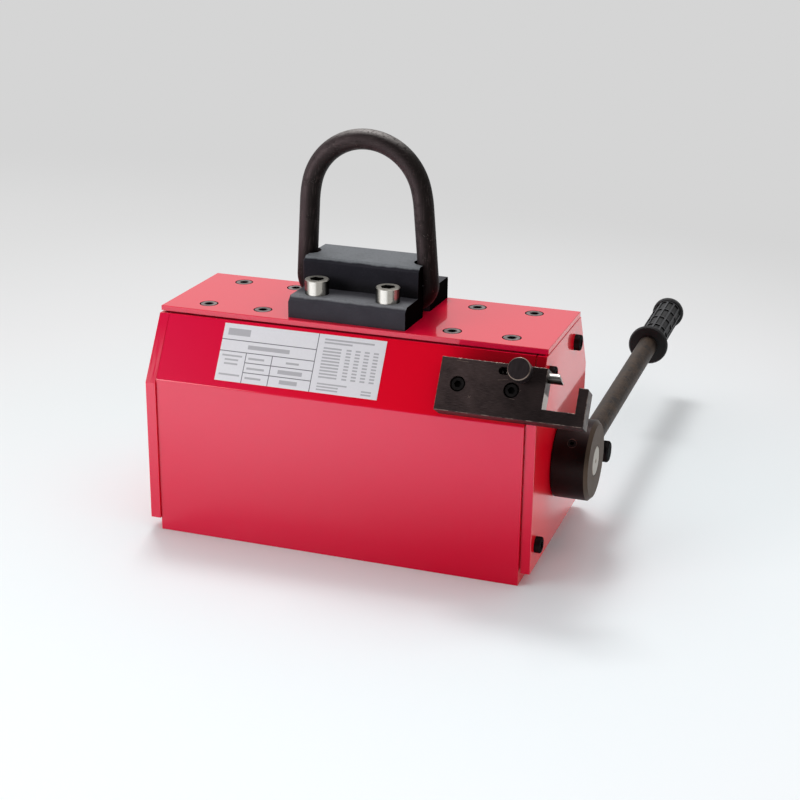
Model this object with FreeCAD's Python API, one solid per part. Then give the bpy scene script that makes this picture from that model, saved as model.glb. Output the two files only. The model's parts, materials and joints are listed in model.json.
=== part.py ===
import FreeCAD, Part
import math
import os

# Permanent magnetic lifter, in millimetres.
# X runs along the body, Y from front to back and Z up. The origin is the middle of the pole face,
# the underside that grips the load. The lever is drawn in its OFF position, lying back on its stop.

V = FreeCAD.Vector
ALONG = V(1, 0, 0)
BACK = V(0, 1, 0)
UP = V(0, 0, 1)

# Driving sizes of the body
POLE_LENGTH = 370.4
BODY_DEPTH = 205.0
KNEE_HEIGHT = 159.0
BODY_HEIGHT = 223.0
TOP_WIDTH = 129.0
TOP_PLATE_T = 6.4
END_PLATE_T = 10.8
END_PLATE_LIFT = 12.5
LEFT_PLATE_PROUD = 2.0
RIGHT_PLATE_SET_BACK = 2.0
LEFT_SEAM_GAP = 0.4
RIGHT_SEAM_GAP = 1.4
TOP_SEAM_GAP = 1.5
SEAM_DEPTH = 3.0
PLATE_EDGE = 0.4
KNEE_RADIUS = 3.0

# Driving sizes of the magnet rotor and its bearings
ROTOR_AXIS_HEIGHT = 94.5
ROTOR_D = 116.0
ROTOR_GAP = 0.5
ROTOR_END_GAP = 1.0
ROTOR_CAP_T = 12.0
ROTOR_MAGNET_T = 40.0
ROTOR_MAGNET_H = 100.0
POLE_GAP = 24.0
POLE_HORN = 5.0
FIXED_MAGNET_W = 56.0
FIXED_MAGNET_HEADROOM = 1.0
MAGNETS_IN_ROW = 4
MAGNET_SPLIT = 1.0
SHAFT_D = 30.0
SHAFT_CHAMFER = 1.0
CENTRE_MARK = 2.5
BUSH_WALL = 4.0
BLIND_BUSH_DEPTH = 7.0

# Driving sizes of the lever
HUB_D = 79.0
HUB_LENGTH = 36.0
HUB_CHAMFER = 3.5
HUB_BACK_CHAMFER = 1.0
KEY_WIDTH = 8.0
KEY_HEIGHT = 7.0
KEY_END_INSET = 5.0
GRUB_D = 8.0
GRUB_ANGLE = 138.0
GRUB_SUNK = 0.6
GRUB_POINT = 2.0
GRUB_EDGE = 0.5
GRUB_HEXAGON = 4.0
GRUB_SOCKET = 4.0
ROD_D = 22.0
ROD_SEAT = 20.0
ROD_EDGE = 1.0
LEVER_REST_ANGLE = 1.0
LEVER_ON_ANGLE = 135.4
LEVER_REACH = 499.0
GRIP_LENGTH = 137.5
GRIP_D = 32.4
GRIP_GUARD_D = 45.6
GRIP_GUARD_T = 5.0
GRIP_END_D = 37.4
GRIP_END_T = 8.0
GRIP_END_WALL = 5.0
GRIP_EDGE = 1.5
GRIP_ROWS = 4
GRIP_CELLS = 12
GRIP_CELL_DEPTH = 1.4
GRIP_RIB = 2.2
STOP_D = 22.0
STOP_REACH = 80.0
STOP_LENGTH = 34.0
STOP_CHAMFER = 1.5
STOP_THREAD_D = 12.0
STOP_THREAD_LENGTH = 30.0

# Driving sizes of the lever lock on the front slope
LATCH_LENGTH = 138.7
LATCH_WIDTH = 50.0
LATCH_T = 20.0
LATCH_EDGE = 0.5
LATCH_BAR = 12.2
NOTCH_INNER_ROOM = 0.5
NOTCH_OUTER_ROOM = 8.0
FINGER_W = 9.0
FINGER_HEIGHT = 35.7
FINGER_CHAMFER = 1.0
LATCH_BOLT_D = 9.6
LATCH_BOLT_REACH = 14.0
LATCH_BOLT_LENGTH = 46.0
LATCH_BOLT_BEVEL = 5.0
LATCH_TRAVEL = 19.0
LATCH_STEM_D = 6.4
LATCH_STEM_SETBACK = 22.4
LATCH_STEM_SUNK = 2.0
KNOB_D = 21.4
KNOB_T = 13.0
KNOB_NECK_D = 12.0
KNOB_NECK_T = 4.0
KNOB_EDGE = 0.8
SPRING_WIRE_D = 1.2
SPRING_TURNS = 8
SPRING_SOLID = 13.0
LATCH_SCREW_INSET = 18.5
LATCH_SCREW_PITCH = 50.4
LATCH_SCREW_RISE = 26.0

# Driving sizes of the lifting lug and ring. The lug's sides are measured from the ring's middle, and
# both stand a little out of square on the body: turned about Z, and the ring leaning in its own plane.
LUG_X = -4.0
LUG_Y = 2.0
LUG_TURN = -1.5
LUG_LEFT = 58.4
LUG_RIGHT = 61.5
LUG_FRONT = 60.4
LUG_BACK = 63.4
LUG_FLANGE_T = 22.0
LUG_MIDDLE_FRONT = 25.0
LUG_MIDDLE_BACK = 30.0
LUG_HEIGHT = 52.0
LUG_CHAMFER = 4.5
LUG_BACK_CHAMFER = 1.5
LUG_END_CHAMFER = 1.5
LUG_SCREW_SHIFT = 1.0
LUG_SCREW_PITCH_X = 73.0
LUG_SCREW_PITCH_Y = 86.0
RING_BAR_D = 19.8
RING_LEAN = -1.2
RING_LIFT = 1.0
RING_TOP = 399.2
RING_CROWN_R = 57.8
RING_CROWN_END = 13.0
RING_SHOULDER_R = 117.0
RING_LEG_LEAN = 3.85
RING_BEND_R = 18.0
RING_NOTCH_ROOM = 3.0

# Places of the plate screws, from the body's middle, its ends and its top
TOP_SCREW_OUTER_INSET = 41.0
TOP_SCREW_INNER_INSET = 99.0
TOP_SCREW_EDGE = 22.5
END_SCREW_HIGH_FRONT = 56.0
END_SCREW_HIGH_BACK = 47.5
END_SCREW_HIGH_DROP = 26.5
END_SCREW_LOW_Y = 82.0
END_SCREW_LOW_Z = 35.8

# Fasteners: thread, length under the head, head diameter and height, hexagon across flats, its depth
TOP_SCREW = dict(thread=10.0, length=26.0, head=16.0, height=5.0, hexagon=7.0, socket=3.0)
END_SCREW = dict(thread=10.0, length=30.0, head=15.8, height=6.0, hexagon=7.0, socket=3.5)
LUG_SCREW = dict(thread=16.0, length=50.0, head=23.6, height=14.5, hexagon=13.0, socket=8.0)
LATCH_SCREW = dict(thread=8.0, length=26.0, head=13.0, height=8.0, hexagon=6.0, socket=4.5)
CAP_SCREW = dict(thread=6.0, length=24.0, head=12.0, height=3.5, hexagon=4.0, socket=2.0)
THREAD_TIP = 1.0
HEAD_RIM = 0.8
COUNTERSINK_RIM = 0.6
COUNTERSINK_ROOM = 1.3
COUNTERSINK_TRENCH = 2.4
LATCH_COUNTERBORE = 0.8
LATCH_SCREW_SUNK = 1.0

# Clearances
THREAD_FIT = 0.1
SEAT_FIT = 0.1
RUNNING_FIT = 0.05
MOVING_GAP = 0.4
LATCH_PLAY = 0.4
MAGNET_FIT = 0.2

# Places worked out from the driving sizes
HALF_LENGTH = POLE_LENGTH / 2
END_FACE = HALF_LENGTH + END_PLATE_T
HALF_DEPTH = BODY_DEPTH / 2
SEAT_HEIGHT = BODY_HEIGHT - TOP_PLATE_T
SLOPE_RISE = BODY_HEIGHT - KNEE_HEIGHT
SLOPE_RUN = (BODY_DEPTH - TOP_WIDTH) / 2
SLOPE_ANGLE = math.degrees(math.atan2(SLOPE_RISE, SLOPE_RUN))
SHAFT_R = SHAFT_D / 2
BORE_R = ROTOR_D / 2 + ROTOR_GAP
MAGNET_FLOOR = ROTOR_AXIS_HEIGHT + BORE_R + POLE_HORN
ROTOR_END = HALF_LENGTH - ROTOR_END_GAP
SHOE_END = ROTOR_END - ROTOR_CAP_T
HUB_START = END_FACE + MOVING_GAP
HUB_END = HUB_START + HUB_LENGTH
ROD_X = (HUB_START + HUB_END) / 2
ROD_R = ROD_D / 2
LEVER_SWING = LEVER_ON_ANGLE - LEVER_REST_ANGLE
ROTOR_REST_ANGLE = (180.0 - LEVER_SWING) / 2
CAP_SCREW_RING = (ROTOR_MAGNET_T + ROTOR_D) / 4
TOP_SCREW_Y = TOP_WIDTH / 2 - TOP_SCREW_EDGE
TOP_SCREW_OUTER_X = END_FACE - TOP_SCREW_OUTER_INSET
TOP_SCREW_INNER_X = END_FACE - TOP_SCREW_INNER_INSET
TOP_SCREW_X = (-TOP_SCREW_OUTER_X, -TOP_SCREW_INNER_X, TOP_SCREW_INNER_X, TOP_SCREW_OUTER_X)
END_SCREW_HIGH_Z = BODY_HEIGHT - END_SCREW_HIGH_DROP
END_SCREW_YZ = [
    (END_SCREW_HIGH_BACK, END_SCREW_HIGH_Z),
    (-END_SCREW_HIGH_FRONT, END_SCREW_HIGH_Z),
    (END_SCREW_LOW_Y, END_SCREW_LOW_Z),
    (-END_SCREW_LOW_Y, END_SCREW_LOW_Z),
]


def half_width(height):
    """Half the body's depth at a height: upright up to the knee, then drawn in by the slope."""
    return HALF_DEPTH - max(0.0, height - KNEE_HEIGHT) * SLOPE_RUN / SLOPE_RISE


# Basic shapes
def block(x0, x1, y0, y1, z0, z1):
    return Part.makeBox(x1 - x0, y1 - y0, z1 - z0, V(x0, y0, z0))


def polygon(points):
    return Part.Face(Part.makePolygon(points + points[:1]))


def prism_x(points, x0, x1):
    """Outline of (y, z) points drawn out along X."""
    return polygon([V(x0, y, z) for y, z in points]).extrude(V(x1 - x0, 0, 0))


def put(shape, origin, axis):
    """Move a shape that was made along +Z so that it starts at origin and runs along axis."""
    place = FreeCAD.Placement(origin, FreeCAD.Rotation(UP, axis))
    return shape.transformed(place.toMatrix(), True)


def turned(profile, origin=V(0, 0, 0), axis=UP):
    """Lathe work: (radius, distance) points turned about an axis."""
    face = polygon([V(radius, 0, along) for radius, along in profile])
    return put(face.revolve(V(0, 0, 0), UP, 360), origin, axis)


def cylinder(origin, axis, radius, length):
    return Part.makeCylinder(radius, length, origin, axis)


def hexagon_hole(across_flats, top, depth):
    corner = across_flats / math.sqrt(3)
    points = []
    for step in range(6):
        turn = math.radians(60 * step)
        points.append(V(corner * math.cos(turn), corner * math.sin(turn), top))
    return polygon(points).extrude(V(0, 0, -depth))


def chamfered(shape, size, wanted):
    """Chamfer the edges whose corner points all pass the test."""
    edges = [edge for edge in shape.Edges if all(wanted(vertex.Point) for vertex in edge.Vertexes)]
    return shape.makeChamfer(size, edges)


def close(a, b):
    return abs(a - b) < 1e-4


# Fasteners, made standing on their seat with the thread pointing down
def cap_screw(size):
    thread = size["thread"] / 2
    head = size["head"] / 2
    profile = [
        (0, -size["length"]),
        (thread - THREAD_TIP, -size["length"]),
        (thread, THREAD_TIP - size["length"]),
        (thread, 0),
        (head, 0),
        (head, size["height"] - HEAD_RIM),
        (head - HEAD_RIM, size["height"]),
        (0, size["height"]),
    ]
    socket = hexagon_hole(size["hexagon"], size["height"], size["socket"])
    return turned(profile).cut(socket)


def countersunk_screw(size):
    thread = size["thread"] / 2
    head = size["head"] / 2
    profile = [
        (0, -size["length"]),
        (thread - THREAD_TIP, -size["length"]),
        (thread, THREAD_TIP - size["length"]),
        (thread, -size["height"]),
        (head, -COUNTERSINK_RIM),
        (head, 0),
        (0, 0),
    ]
    socket = hexagon_hole(size["hexagon"], 0, size["socket"])
    return turned(profile).cut(socket)


def countersunk_hole(size):
    """Seat for a countersunk head, with an open ring round the head's rim."""
    thread = size["thread"] / 2 + THREAD_FIT
    head = size["head"] / 2
    ring = head + COUNTERSINK_ROOM
    cone = (head - size["thread"] / 2) / (size["height"] - COUNTERSINK_RIM)
    seat = head - (COUNTERSINK_TRENCH - COUNTERSINK_RIM) * cone + SEAT_FIT
    profile = [
        (0, -size["length"] - THREAD_FIT),
        (thread, -size["length"] - THREAD_FIT),
        (thread, -size["height"] - THREAD_FIT),
        (seat, -COUNTERSINK_TRENCH - THREAD_FIT),
        (ring, -COUNTERSINK_TRENCH - THREAD_FIT),
        (ring, SEAT_FIT),
        (0, SEAT_FIT),
    ]
    return turned(profile)


def thread_hole(size):
    return cylinder(V(0, 0, SEAT_FIT), V(0, 0, -1), size["thread"] / 2 + THREAD_FIT,
                    size["length"] + THREAD_FIT + SEAT_FIT)


def at_each(shape, places, axis):
    return [put(shape, place, axis) for place in places]


def end_screw_places(side):
    return [V(side * END_FACE, y, z) for y, z in END_SCREW_YZ]


TOP_SCREW_PLACES = [V(x, side * TOP_SCREW_Y, BODY_HEIGHT) for x in TOP_SCREW_X for side in (-1, 1)]
LUG_MIDDLE = V(LUG_X, LUG_Y, BODY_HEIGHT)
LUG_SCREW_PLACES = []
for sx in (-1, 1):
    for sy in (-1, 1):
        across = LUG_SCREW_SHIFT + sx * LUG_SCREW_PITCH_X / 2
        from_middle = V(across, sy * LUG_SCREW_PITCH_Y / 2, LUG_FLANGE_T)
        LUG_SCREW_PLACES.append(LUG_MIDDLE + FreeCAD.Rotation(UP, LUG_TURN).multVec(from_middle))
ALL_TOP_HOLES = (
    at_each(countersunk_hole(TOP_SCREW), TOP_SCREW_PLACES, UP)
    + at_each(thread_hole(LUG_SCREW), LUG_SCREW_PLACES, UP)
)
END_HOLES = {
    side: at_each(thread_hole(END_SCREW), end_screw_places(side), V(side, 0, 0))
    for side in (-1, 1)
}


# The lever's own line: a point at a distance from the rotor axis, at an angle up from the back
def lever_direction(angle):
    turn = math.radians(angle)
    return V(0, math.cos(turn), math.sin(turn))


LEVER_PIVOT = V(ROD_X, 0, ROTOR_AXIS_HEIGHT)
LEVER_LINE = lever_direction(LEVER_REST_ANGLE)


def lever_point(distance):
    return LEVER_PIVOT + LEVER_LINE * distance


# The stop stands just under the resting rod, square to its line
STOP_DROP = ROD_R + STOP_D / 2 + MOVING_GAP
STOP_PLACE = lever_point(STOP_REACH) - lever_direction(LEVER_REST_ANGLE + 90) * STOP_DROP
STOP_PLACE.x = END_FACE
STOP_HOLE = cylinder(STOP_PLACE, -ALONG, STOP_THREAD_D / 2 + THREAD_FIT, STOP_THREAD_LENGTH + THREAD_FIT)

# The front slope as a flat drawing board: x along the body, s up the slope from the knee, h out of it
SLOPE = FreeCAD.Placement(V(0, -HALF_DEPTH, KNEE_HEIGHT), FreeCAD.Rotation(ALONG, SLOPE_ANGLE))


def on_slope(shape):
    return shape.transformed(SLOPE.toMatrix(), True)


# Where the rod of a locked lever crosses that board, at its surface and half way up the lock plate
ON_LINE = SLOPE.inverse().Rotation.multVec(lever_direction(LEVER_ON_ANGLE))
ON_PIVOT = SLOPE.inverse().multVec(LEVER_PIVOT)


def rod_crossing(h):
    return (ON_PIVOT + ON_LINE * ((h - ON_PIVOT.z) / ON_LINE.z)).y


ROD_HALF_SPAN = ROD_R / ON_LINE.z
NOTCH_FLOOR = rod_crossing(0) - ROD_HALF_SPAN - MOVING_GAP
LATCH_LOW = NOTCH_FLOOR - LATCH_BAR
LATCH_HIGH = LATCH_LOW + LATCH_WIDTH
NOTCH_LEFT = ROD_X - ROD_R - NOTCH_INNER_ROOM
NOTCH_RIGHT = ROD_X + ROD_R + NOTCH_OUTER_ROOM
LATCH_RIGHT = NOTCH_RIGHT + FINGER_W
LATCH_LEFT = LATCH_RIGHT - LATCH_LENGTH
BOLT_S = rod_crossing(LATCH_T / 2) + ROD_HALF_SPAN + LATCH_PLAY + LATCH_BOLT_D / 2
BOLT_H = LATCH_T / 2
BOLT_TIP = NOTCH_LEFT + LATCH_BOLT_REACH
BOLT_TAIL = BOLT_TIP - LATCH_BOLT_LENGTH
BOLT_BORE_R = LATCH_BOLT_D / 2 + RUNNING_FIT
STEM_X = NOTCH_LEFT - LATCH_STEM_SETBACK
SPRING_END = BOLT_TAIL - LATCH_TRAVEL - SPRING_SOLID
LATCH_SCREW_PLACES = [
    V(LATCH_LEFT + LATCH_SCREW_INSET + step * LATCH_SCREW_PITCH, LATCH_LOW + LATCH_SCREW_RISE,
      LATCH_T - LATCH_SCREW["height"] - LATCH_SCREW_SUNK)
    for step in (0, 1)
]
LATCH_THREAD_HOLES = [on_slope(hole) for hole in at_each(thread_hole(LATCH_SCREW), LATCH_SCREW_PLACES, UP)]


# Magnet housing
def pole(side):
    inner = POLE_GAP / 2
    pocket = FIXED_MAGNET_W / 2 + MAGNET_FIT
    outline = [
        (inner, 0),
        (HALF_DEPTH, 0),
        (HALF_DEPTH, KNEE_HEIGHT),
        (half_width(SEAT_HEIGHT), SEAT_HEIGHT),
        (pocket, SEAT_HEIGHT),
        (pocket, MAGNET_FLOOR),
        (inner, MAGNET_FLOOR),
    ]
    solid = prism_x([(side * y, z) for y, z in outline], -HALF_LENGTH, HALF_LENGTH)
    knee = [edge for edge in solid.Edges if all(
        close(abs(vertex.Y), HALF_DEPTH) and close(vertex.Z, KNEE_HEIGHT) for vertex in edge.Vertexes)]
    solid = solid.makeFillet(KNEE_RADIUS, knee)
    bore = cylinder(V(-HALF_LENGTH, 0, ROTOR_AXIS_HEIGHT), ALONG, BORE_R, POLE_LENGTH)
    holes = [bore] + ALL_TOP_HOLES + END_HOLES[-1] + END_HOLES[1] + [STOP_HOLE]
    if side < 0:
        holes += LATCH_THREAD_HOLES
    return solid.cut(holes)


def pole_spacer():
    strip = block(-HALF_LENGTH, HALF_LENGTH, -POLE_GAP / 2, POLE_GAP / 2, 0, ROTOR_AXIS_HEIGHT)
    return strip.cut(cylinder(V(-HALF_LENGTH, 0, ROTOR_AXIS_HEIGHT), ALONG, BORE_R, POLE_LENGTH))


def magnet_row(half_length, half_width_y, low, high):
    """A row of equal magnets along X with a narrow split between them."""
    pitch = 2 * half_length / MAGNETS_IN_ROW
    row = []
    for step in range(MAGNETS_IN_ROW):
        start = step * pitch - half_length
        row.append(block(start + MAGNET_SPLIT / 2, start + pitch - MAGNET_SPLIT / 2,
                         -half_width_y, half_width_y, low, high))
    return row


def fixed_magnets():
    return Part.makeCompound(magnet_row(HALF_LENGTH, FIXED_MAGNET_W / 2, MAGNET_FLOOR,
                                        SEAT_HEIGHT - FIXED_MAGNET_HEADROOM))


def top_plate():
    """Flat strip with upright edges, and a step under it that leaves an open seam all round."""
    half = TOP_WIDTH / 2
    step = half - SEAM_DEPTH
    step_end = END_FACE - SEAM_DEPTH
    step_z = SEAT_HEIGHT + TOP_SEAM_GAP
    plate = block(-END_FACE, END_FACE, -half, half, step_z, BODY_HEIGHT)
    plate = chamfered(plate, PLATE_EDGE, lambda point: close(point.z, BODY_HEIGHT))
    plate = plate.fuse(block(-step_end, step_end, -step, step, SEAT_HEIGHT, step_z))
    return plate.cut(ALL_TOP_HOLES)


def end_outline(proud, inset):
    """Outline of an end plate above its foot, drawn in all round by an inset. Its front stands proud
    of the poles' front, or back from it, along the same slope."""
    foot = END_PLATE_LIFT + inset
    top = half_width(SEAT_HEIGHT) - inset
    back = HALF_DEPTH - inset
    front = -HALF_DEPTH - proud + inset
    return [
        (back, foot),
        (back, KNEE_HEIGHT),
        (top, SEAT_HEIGHT - inset),
        (-top, SEAT_HEIGHT - inset),
        (front, KNEE_HEIGHT - proud * SLOPE_RISE / SLOPE_RUN),
        (front, foot),
    ]


def end_plate(side):
    """End plate with a step round its inner side, which leaves an open seam along the poles."""
    proud = -RIGHT_PLATE_SET_BACK if side > 0 else LEFT_PLATE_PROUD
    step_x = side * (HALF_LENGTH + (RIGHT_SEAM_GAP if side > 0 else LEFT_SEAM_GAP))
    plate = prism_x(end_outline(proud, 0), step_x, side * END_FACE)
    plate = chamfered(plate, PLATE_EDGE, lambda point: close(point.x, side * END_FACE))
    plate = plate.fuse(prism_x(end_outline(proud, SEAM_DEPTH), side * HALF_LENGTH, step_x))
    depth = END_PLATE_T if side > 0 else BLIND_BUSH_DEPTH
    seat = cylinder(V(side * HALF_LENGTH, 0, ROTOR_AXIS_HEIGHT), V(side, 0, 0), SHAFT_R + BUSH_WALL, depth)
    holes = [seat] + END_HOLES[side]
    if side > 0:
        holes.append(STOP_HOLE)
    return plate.cut(holes)


def bush(side):
    depth = END_PLATE_T if side > 0 else BLIND_BUSH_DEPTH
    profile = [
        (SHAFT_R + RUNNING_FIT, 0),
        (SHAFT_R + BUSH_WALL, 0),
        (SHAFT_R + BUSH_WALL, depth),
        (SHAFT_R + RUNNING_FIT, depth),
    ]
    return turned(profile, V(side * HALF_LENGTH, 0, ROTOR_AXIS_HEIGHT), V(side, 0, 0))


# Magnet rotor, made upright and then turned to its OFF angle
def rotor_turned(shape):
    return shape.rotated(V(0, 0, ROTOR_AXIS_HEIGHT), ALONG, ROTOR_REST_ANGLE)


def cap_screw_places(side):
    places = []
    for y in (-CAP_SCREW_RING, CAP_SCREW_RING):
        for z in (-CAP_SCREW_RING / 2, CAP_SCREW_RING / 2):
            places.append(V(side * ROTOR_END, y, ROTOR_AXIS_HEIGHT + z))
    return places


CAP_HOLES = {
    side: at_each(countersunk_hole(CAP_SCREW), cap_screw_places(side), V(side, 0, 0))
    for side in (-1, 1)
}


def rotor_shoe(side):
    shoe = cylinder(V(-SHOE_END, 0, ROTOR_AXIS_HEIGHT), ALONG, ROTOR_D / 2, 2 * SHOE_END)
    inner = ROTOR_MAGNET_T / 2 + MAGNET_FIT
    half = block(-SHOE_END, SHOE_END, inner, ROTOR_D,
                 ROTOR_AXIS_HEIGHT - ROTOR_D, ROTOR_AXIS_HEIGHT + ROTOR_D)
    if side < 0:
        half = half.mirror(V(0, 0, 0), BACK)
    return rotor_turned(shoe.common(half).cut(CAP_HOLES[-1] + CAP_HOLES[1]))


def rotor_magnets():
    row = magnet_row(SHOE_END, ROTOR_MAGNET_T / 2, ROTOR_AXIS_HEIGHT - ROTOR_MAGNET_H / 2,
                     ROTOR_AXIS_HEIGHT + ROTOR_MAGNET_H / 2)
    return Part.makeCompound([rotor_turned(magnet) for magnet in row])


def key_block(room):
    half = KEY_WIDTH / 2 + room
    low = ROTOR_AXIS_HEIGHT - SHAFT_R - KEY_HEIGHT / 2
    return block(HUB_START + KEY_END_INSET - room, HUB_END - KEY_END_INSET + room, -half, half,
                 low - room, low + KEY_HEIGHT + room)


def rotor_cap(side):
    """End disc with its shaft: short into the blind bush, long out to the hub's face."""
    reach = HUB_END if side > 0 else HALF_LENGTH + BLIND_BUSH_DEPTH - MOVING_GAP
    radius = ROTOR_D / 2 - ROTOR_GAP
    profile = [
        (0, SHOE_END),
        (radius, SHOE_END),
        (radius, ROTOR_END),
        (SHAFT_R, ROTOR_END),
        (SHAFT_R, reach - SHAFT_CHAMFER),
        (SHAFT_R - SHAFT_CHAMFER, reach),
        (0, reach),
    ]
    cap = turned(profile, V(0, 0, ROTOR_AXIS_HEIGHT), V(side, 0, 0)).cut(CAP_HOLES[side])
    cap = rotor_turned(cap)
    if side > 0:
        mark_place = V(reach - CENTRE_MARK, 0, ROTOR_AXIS_HEIGHT)
        centre_mark = Part.makeCone(0, CENTRE_MARK, CENTRE_MARK, mark_place, ALONG)
        cap = cap.cut([key_block(SEAT_FIT), centre_mark])
    return cap


def rotor_cap_screws():
    screw = countersunk_screw(CAP_SCREW)
    group = []
    for side in (-1, 1):
        group += at_each(screw, cap_screw_places(side), V(side, 0, 0))
    return Part.makeCompound([rotor_turned(one) for one in group])


# Lever
GRUB_LINE = lever_direction(GRUB_ANGLE)


def lever_hub():
    radius = HUB_D / 2
    profile = [
        (SHAFT_R + RUNNING_FIT, HUB_START),
        (radius - HUB_BACK_CHAMFER, HUB_START),
        (radius, HUB_START + HUB_BACK_CHAMFER),
        (radius, HUB_END - HUB_CHAMFER),
        (radius - HUB_CHAMFER, HUB_END),
        (SHAFT_R + RUNNING_FIT, HUB_END),
    ]
    hub = turned(profile, V(0, 0, ROTOR_AXIS_HEIGHT), ALONG)
    socket = cylinder(lever_point(ROD_SEAT), LEVER_LINE, ROD_R + SEAT_FIT, HUB_D)
    grub = cylinder(LEVER_PIVOT, GRUB_LINE, GRUB_D / 2 + THREAD_FIT, HUB_D)
    return hub.cut([key_block(SEAT_FIT), socket, grub])


def hub_grub_screw():
    start = SHAFT_R + SEAT_FIT
    length = HUB_D / 2 - GRUB_SUNK - start
    radius = GRUB_D / 2
    profile = [
        (0, 0),
        (radius - GRUB_POINT, 0),
        (radius, GRUB_POINT),
        (radius, length - GRUB_EDGE),
        (radius - GRUB_EDGE, length),
        (0, length),
    ]
    screw = turned(profile).cut(hexagon_hole(GRUB_HEXAGON, length, GRUB_SOCKET))
    return put(screw, LEVER_PIVOT + GRUB_LINE * start, GRUB_LINE)


def lever_rod():
    length = LEVER_REACH - GRIP_END_WALL - ROD_SEAT - SEAT_FIT
    profile = [
        (0, 0),
        (ROD_R - ROD_EDGE, 0),
        (ROD_R, ROD_EDGE),
        (ROD_R, length - ROD_EDGE),
        (ROD_R - ROD_EDGE, length),
        (0, length),
    ]
    return turned(profile, lever_point(ROD_SEAT + SEAT_FIT), LEVER_LINE)


def lever_grip():
    """Moulded rubber sleeve: guard, barrel with rows of sunk cells, and a closed rounded end."""
    barrel = GRIP_D / 2
    bore = ROD_R + SEAT_FIT
    guard = GRIP_GUARD_D / 2
    end = GRIP_END_D / 2
    barrel_end = GRIP_LENGTH - GRIP_END_T
    profile = [
        (bore, 0),
        (guard - GRIP_EDGE, 0),
        (guard, GRIP_EDGE),
        (guard, GRIP_GUARD_T - GRIP_EDGE),
        (guard - GRIP_EDGE, GRIP_GUARD_T),
        (barrel, GRIP_GUARD_T),
        (barrel, barrel_end),
        (end - GRIP_EDGE, barrel_end),
        (end, barrel_end + GRIP_EDGE),
        (end, GRIP_LENGTH - GRIP_EDGE),
        (end - GRIP_EDGE, GRIP_LENGTH),
        (0, GRIP_LENGTH),
        (0, GRIP_LENGTH - GRIP_END_WALL),
        (bore, GRIP_LENGTH - GRIP_END_WALL),
    ]
    pitch = (barrel_end - GRIP_GUARD_T - GRIP_RIB) / GRIP_ROWS
    floor = barrel - GRIP_CELL_DEPTH
    rib = block(0, GRIP_D, -GRIP_RIB / 2, GRIP_RIB / 2, 0, GRIP_LENGTH)
    ribs = [rib.rotated(V(0, 0, 0), UP, 360 * step / GRIP_CELLS) for step in range(GRIP_CELLS)]
    cells = []
    for row in range(GRIP_ROWS):
        low = GRIP_GUARD_T + GRIP_RIB + row * pitch
        high = low + pitch - GRIP_RIB
        ring = turned([(floor, low), (GRIP_D, low), (GRIP_D, high), (floor, high)])
        cells.append(ring.cut(ribs))
    sleeve = turned(profile).cut(cells)
    return put(sleeve, lever_point(LEVER_REACH - GRIP_LENGTH), LEVER_LINE)


def lever_stop():
    radius = STOP_D / 2
    thread = STOP_THREAD_D / 2
    profile = [
        (0, -STOP_THREAD_LENGTH),
        (thread, -STOP_THREAD_LENGTH),
        (thread, 0),
        (radius, 0),
        (radius, STOP_LENGTH - STOP_CHAMFER),
        (radius - STOP_CHAMFER, STOP_LENGTH),
        (0, STOP_LENGTH),
    ]
    return turned(profile, STOP_PLACE, ALONG)


# Lever lock, drawn on the slope's board and then laid on the slope
def latch_plate():
    finger_top = LATCH_LOW + FINGER_HEIGHT
    outline = [
        (LATCH_LEFT, LATCH_LOW),
        (LATCH_RIGHT, LATCH_LOW),
        (LATCH_RIGHT, finger_top - FINGER_CHAMFER),
        (LATCH_RIGHT - FINGER_CHAMFER, finger_top),
        (NOTCH_RIGHT, finger_top),
        (NOTCH_RIGHT, NOTCH_FLOOR),
        (NOTCH_LEFT, NOTCH_FLOOR),
        (NOTCH_LEFT, LATCH_HIGH),
        (LATCH_LEFT, LATCH_HIGH),
    ]
    plate = polygon([V(x, s, 0) for x, s in outline]).extrude(V(0, 0, LATCH_T))
    plate = chamfered(plate, LATCH_EDGE, lambda point: close(point.z, LATCH_T))
    bore = cylinder(V(SPRING_END, BOLT_S, BOLT_H), ALONG, BOLT_BORE_R, NOTCH_LEFT - SPRING_END)
    slot_r = LATCH_STEM_D / 2 + MOVING_GAP
    slot_start = STEM_X - LATCH_TRAVEL
    slot = block(slot_start, STEM_X, BOLT_S - slot_r, BOLT_S + slot_r, BOLT_H, LATCH_T)
    holes = [bore, slot]
    for x in (slot_start, STEM_X):
        holes.append(cylinder(V(x, BOLT_S, BOLT_H), UP, slot_r, LATCH_T - BOLT_H))
    for place in LATCH_SCREW_PLACES:
        holes.append(cylinder(place, UP, LATCH_SCREW["head"] / 2 + LATCH_COUNTERBORE, LATCH_T))
        holes.append(cylinder(place, -UP, LATCH_SCREW["thread"] / 2 + THREAD_FIT, LATCH_T))
    return on_slope(plate.cut(holes))


def latch_screws():
    pair = at_each(cap_screw(LATCH_SCREW), LATCH_SCREW_PLACES, UP)
    return Part.makeCompound([on_slope(screw) for screw in pair])


def latch_bolt():
    """Round spring bolt; its nose is bevelled on the upper side so that the lever can push past it."""
    radius = LATCH_BOLT_D / 2
    bolt = cylinder(V(BOLT_TAIL, BOLT_S, BOLT_H), ALONG, radius, LATCH_BOLT_LENGTH)
    low = BOLT_S - radius
    high = BOLT_S + radius
    nose = polygon([
        V(BOLT_TIP, low, BOLT_H - radius),
        V(BOLT_TIP, high, BOLT_H - radius),
        V(BOLT_TIP - LATCH_BOLT_BEVEL, high, BOLT_H - radius),
    ]).extrude(V(0, 0, LATCH_BOLT_D))
    stem_place = V(STEM_X, BOLT_S, BOLT_H - LATCH_STEM_SUNK)
    stem_hole = cylinder(stem_place, UP, LATCH_STEM_D / 2 + SEAT_FIT, LATCH_T)
    return on_slope(bolt.cut([nose, stem_hole]))


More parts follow.
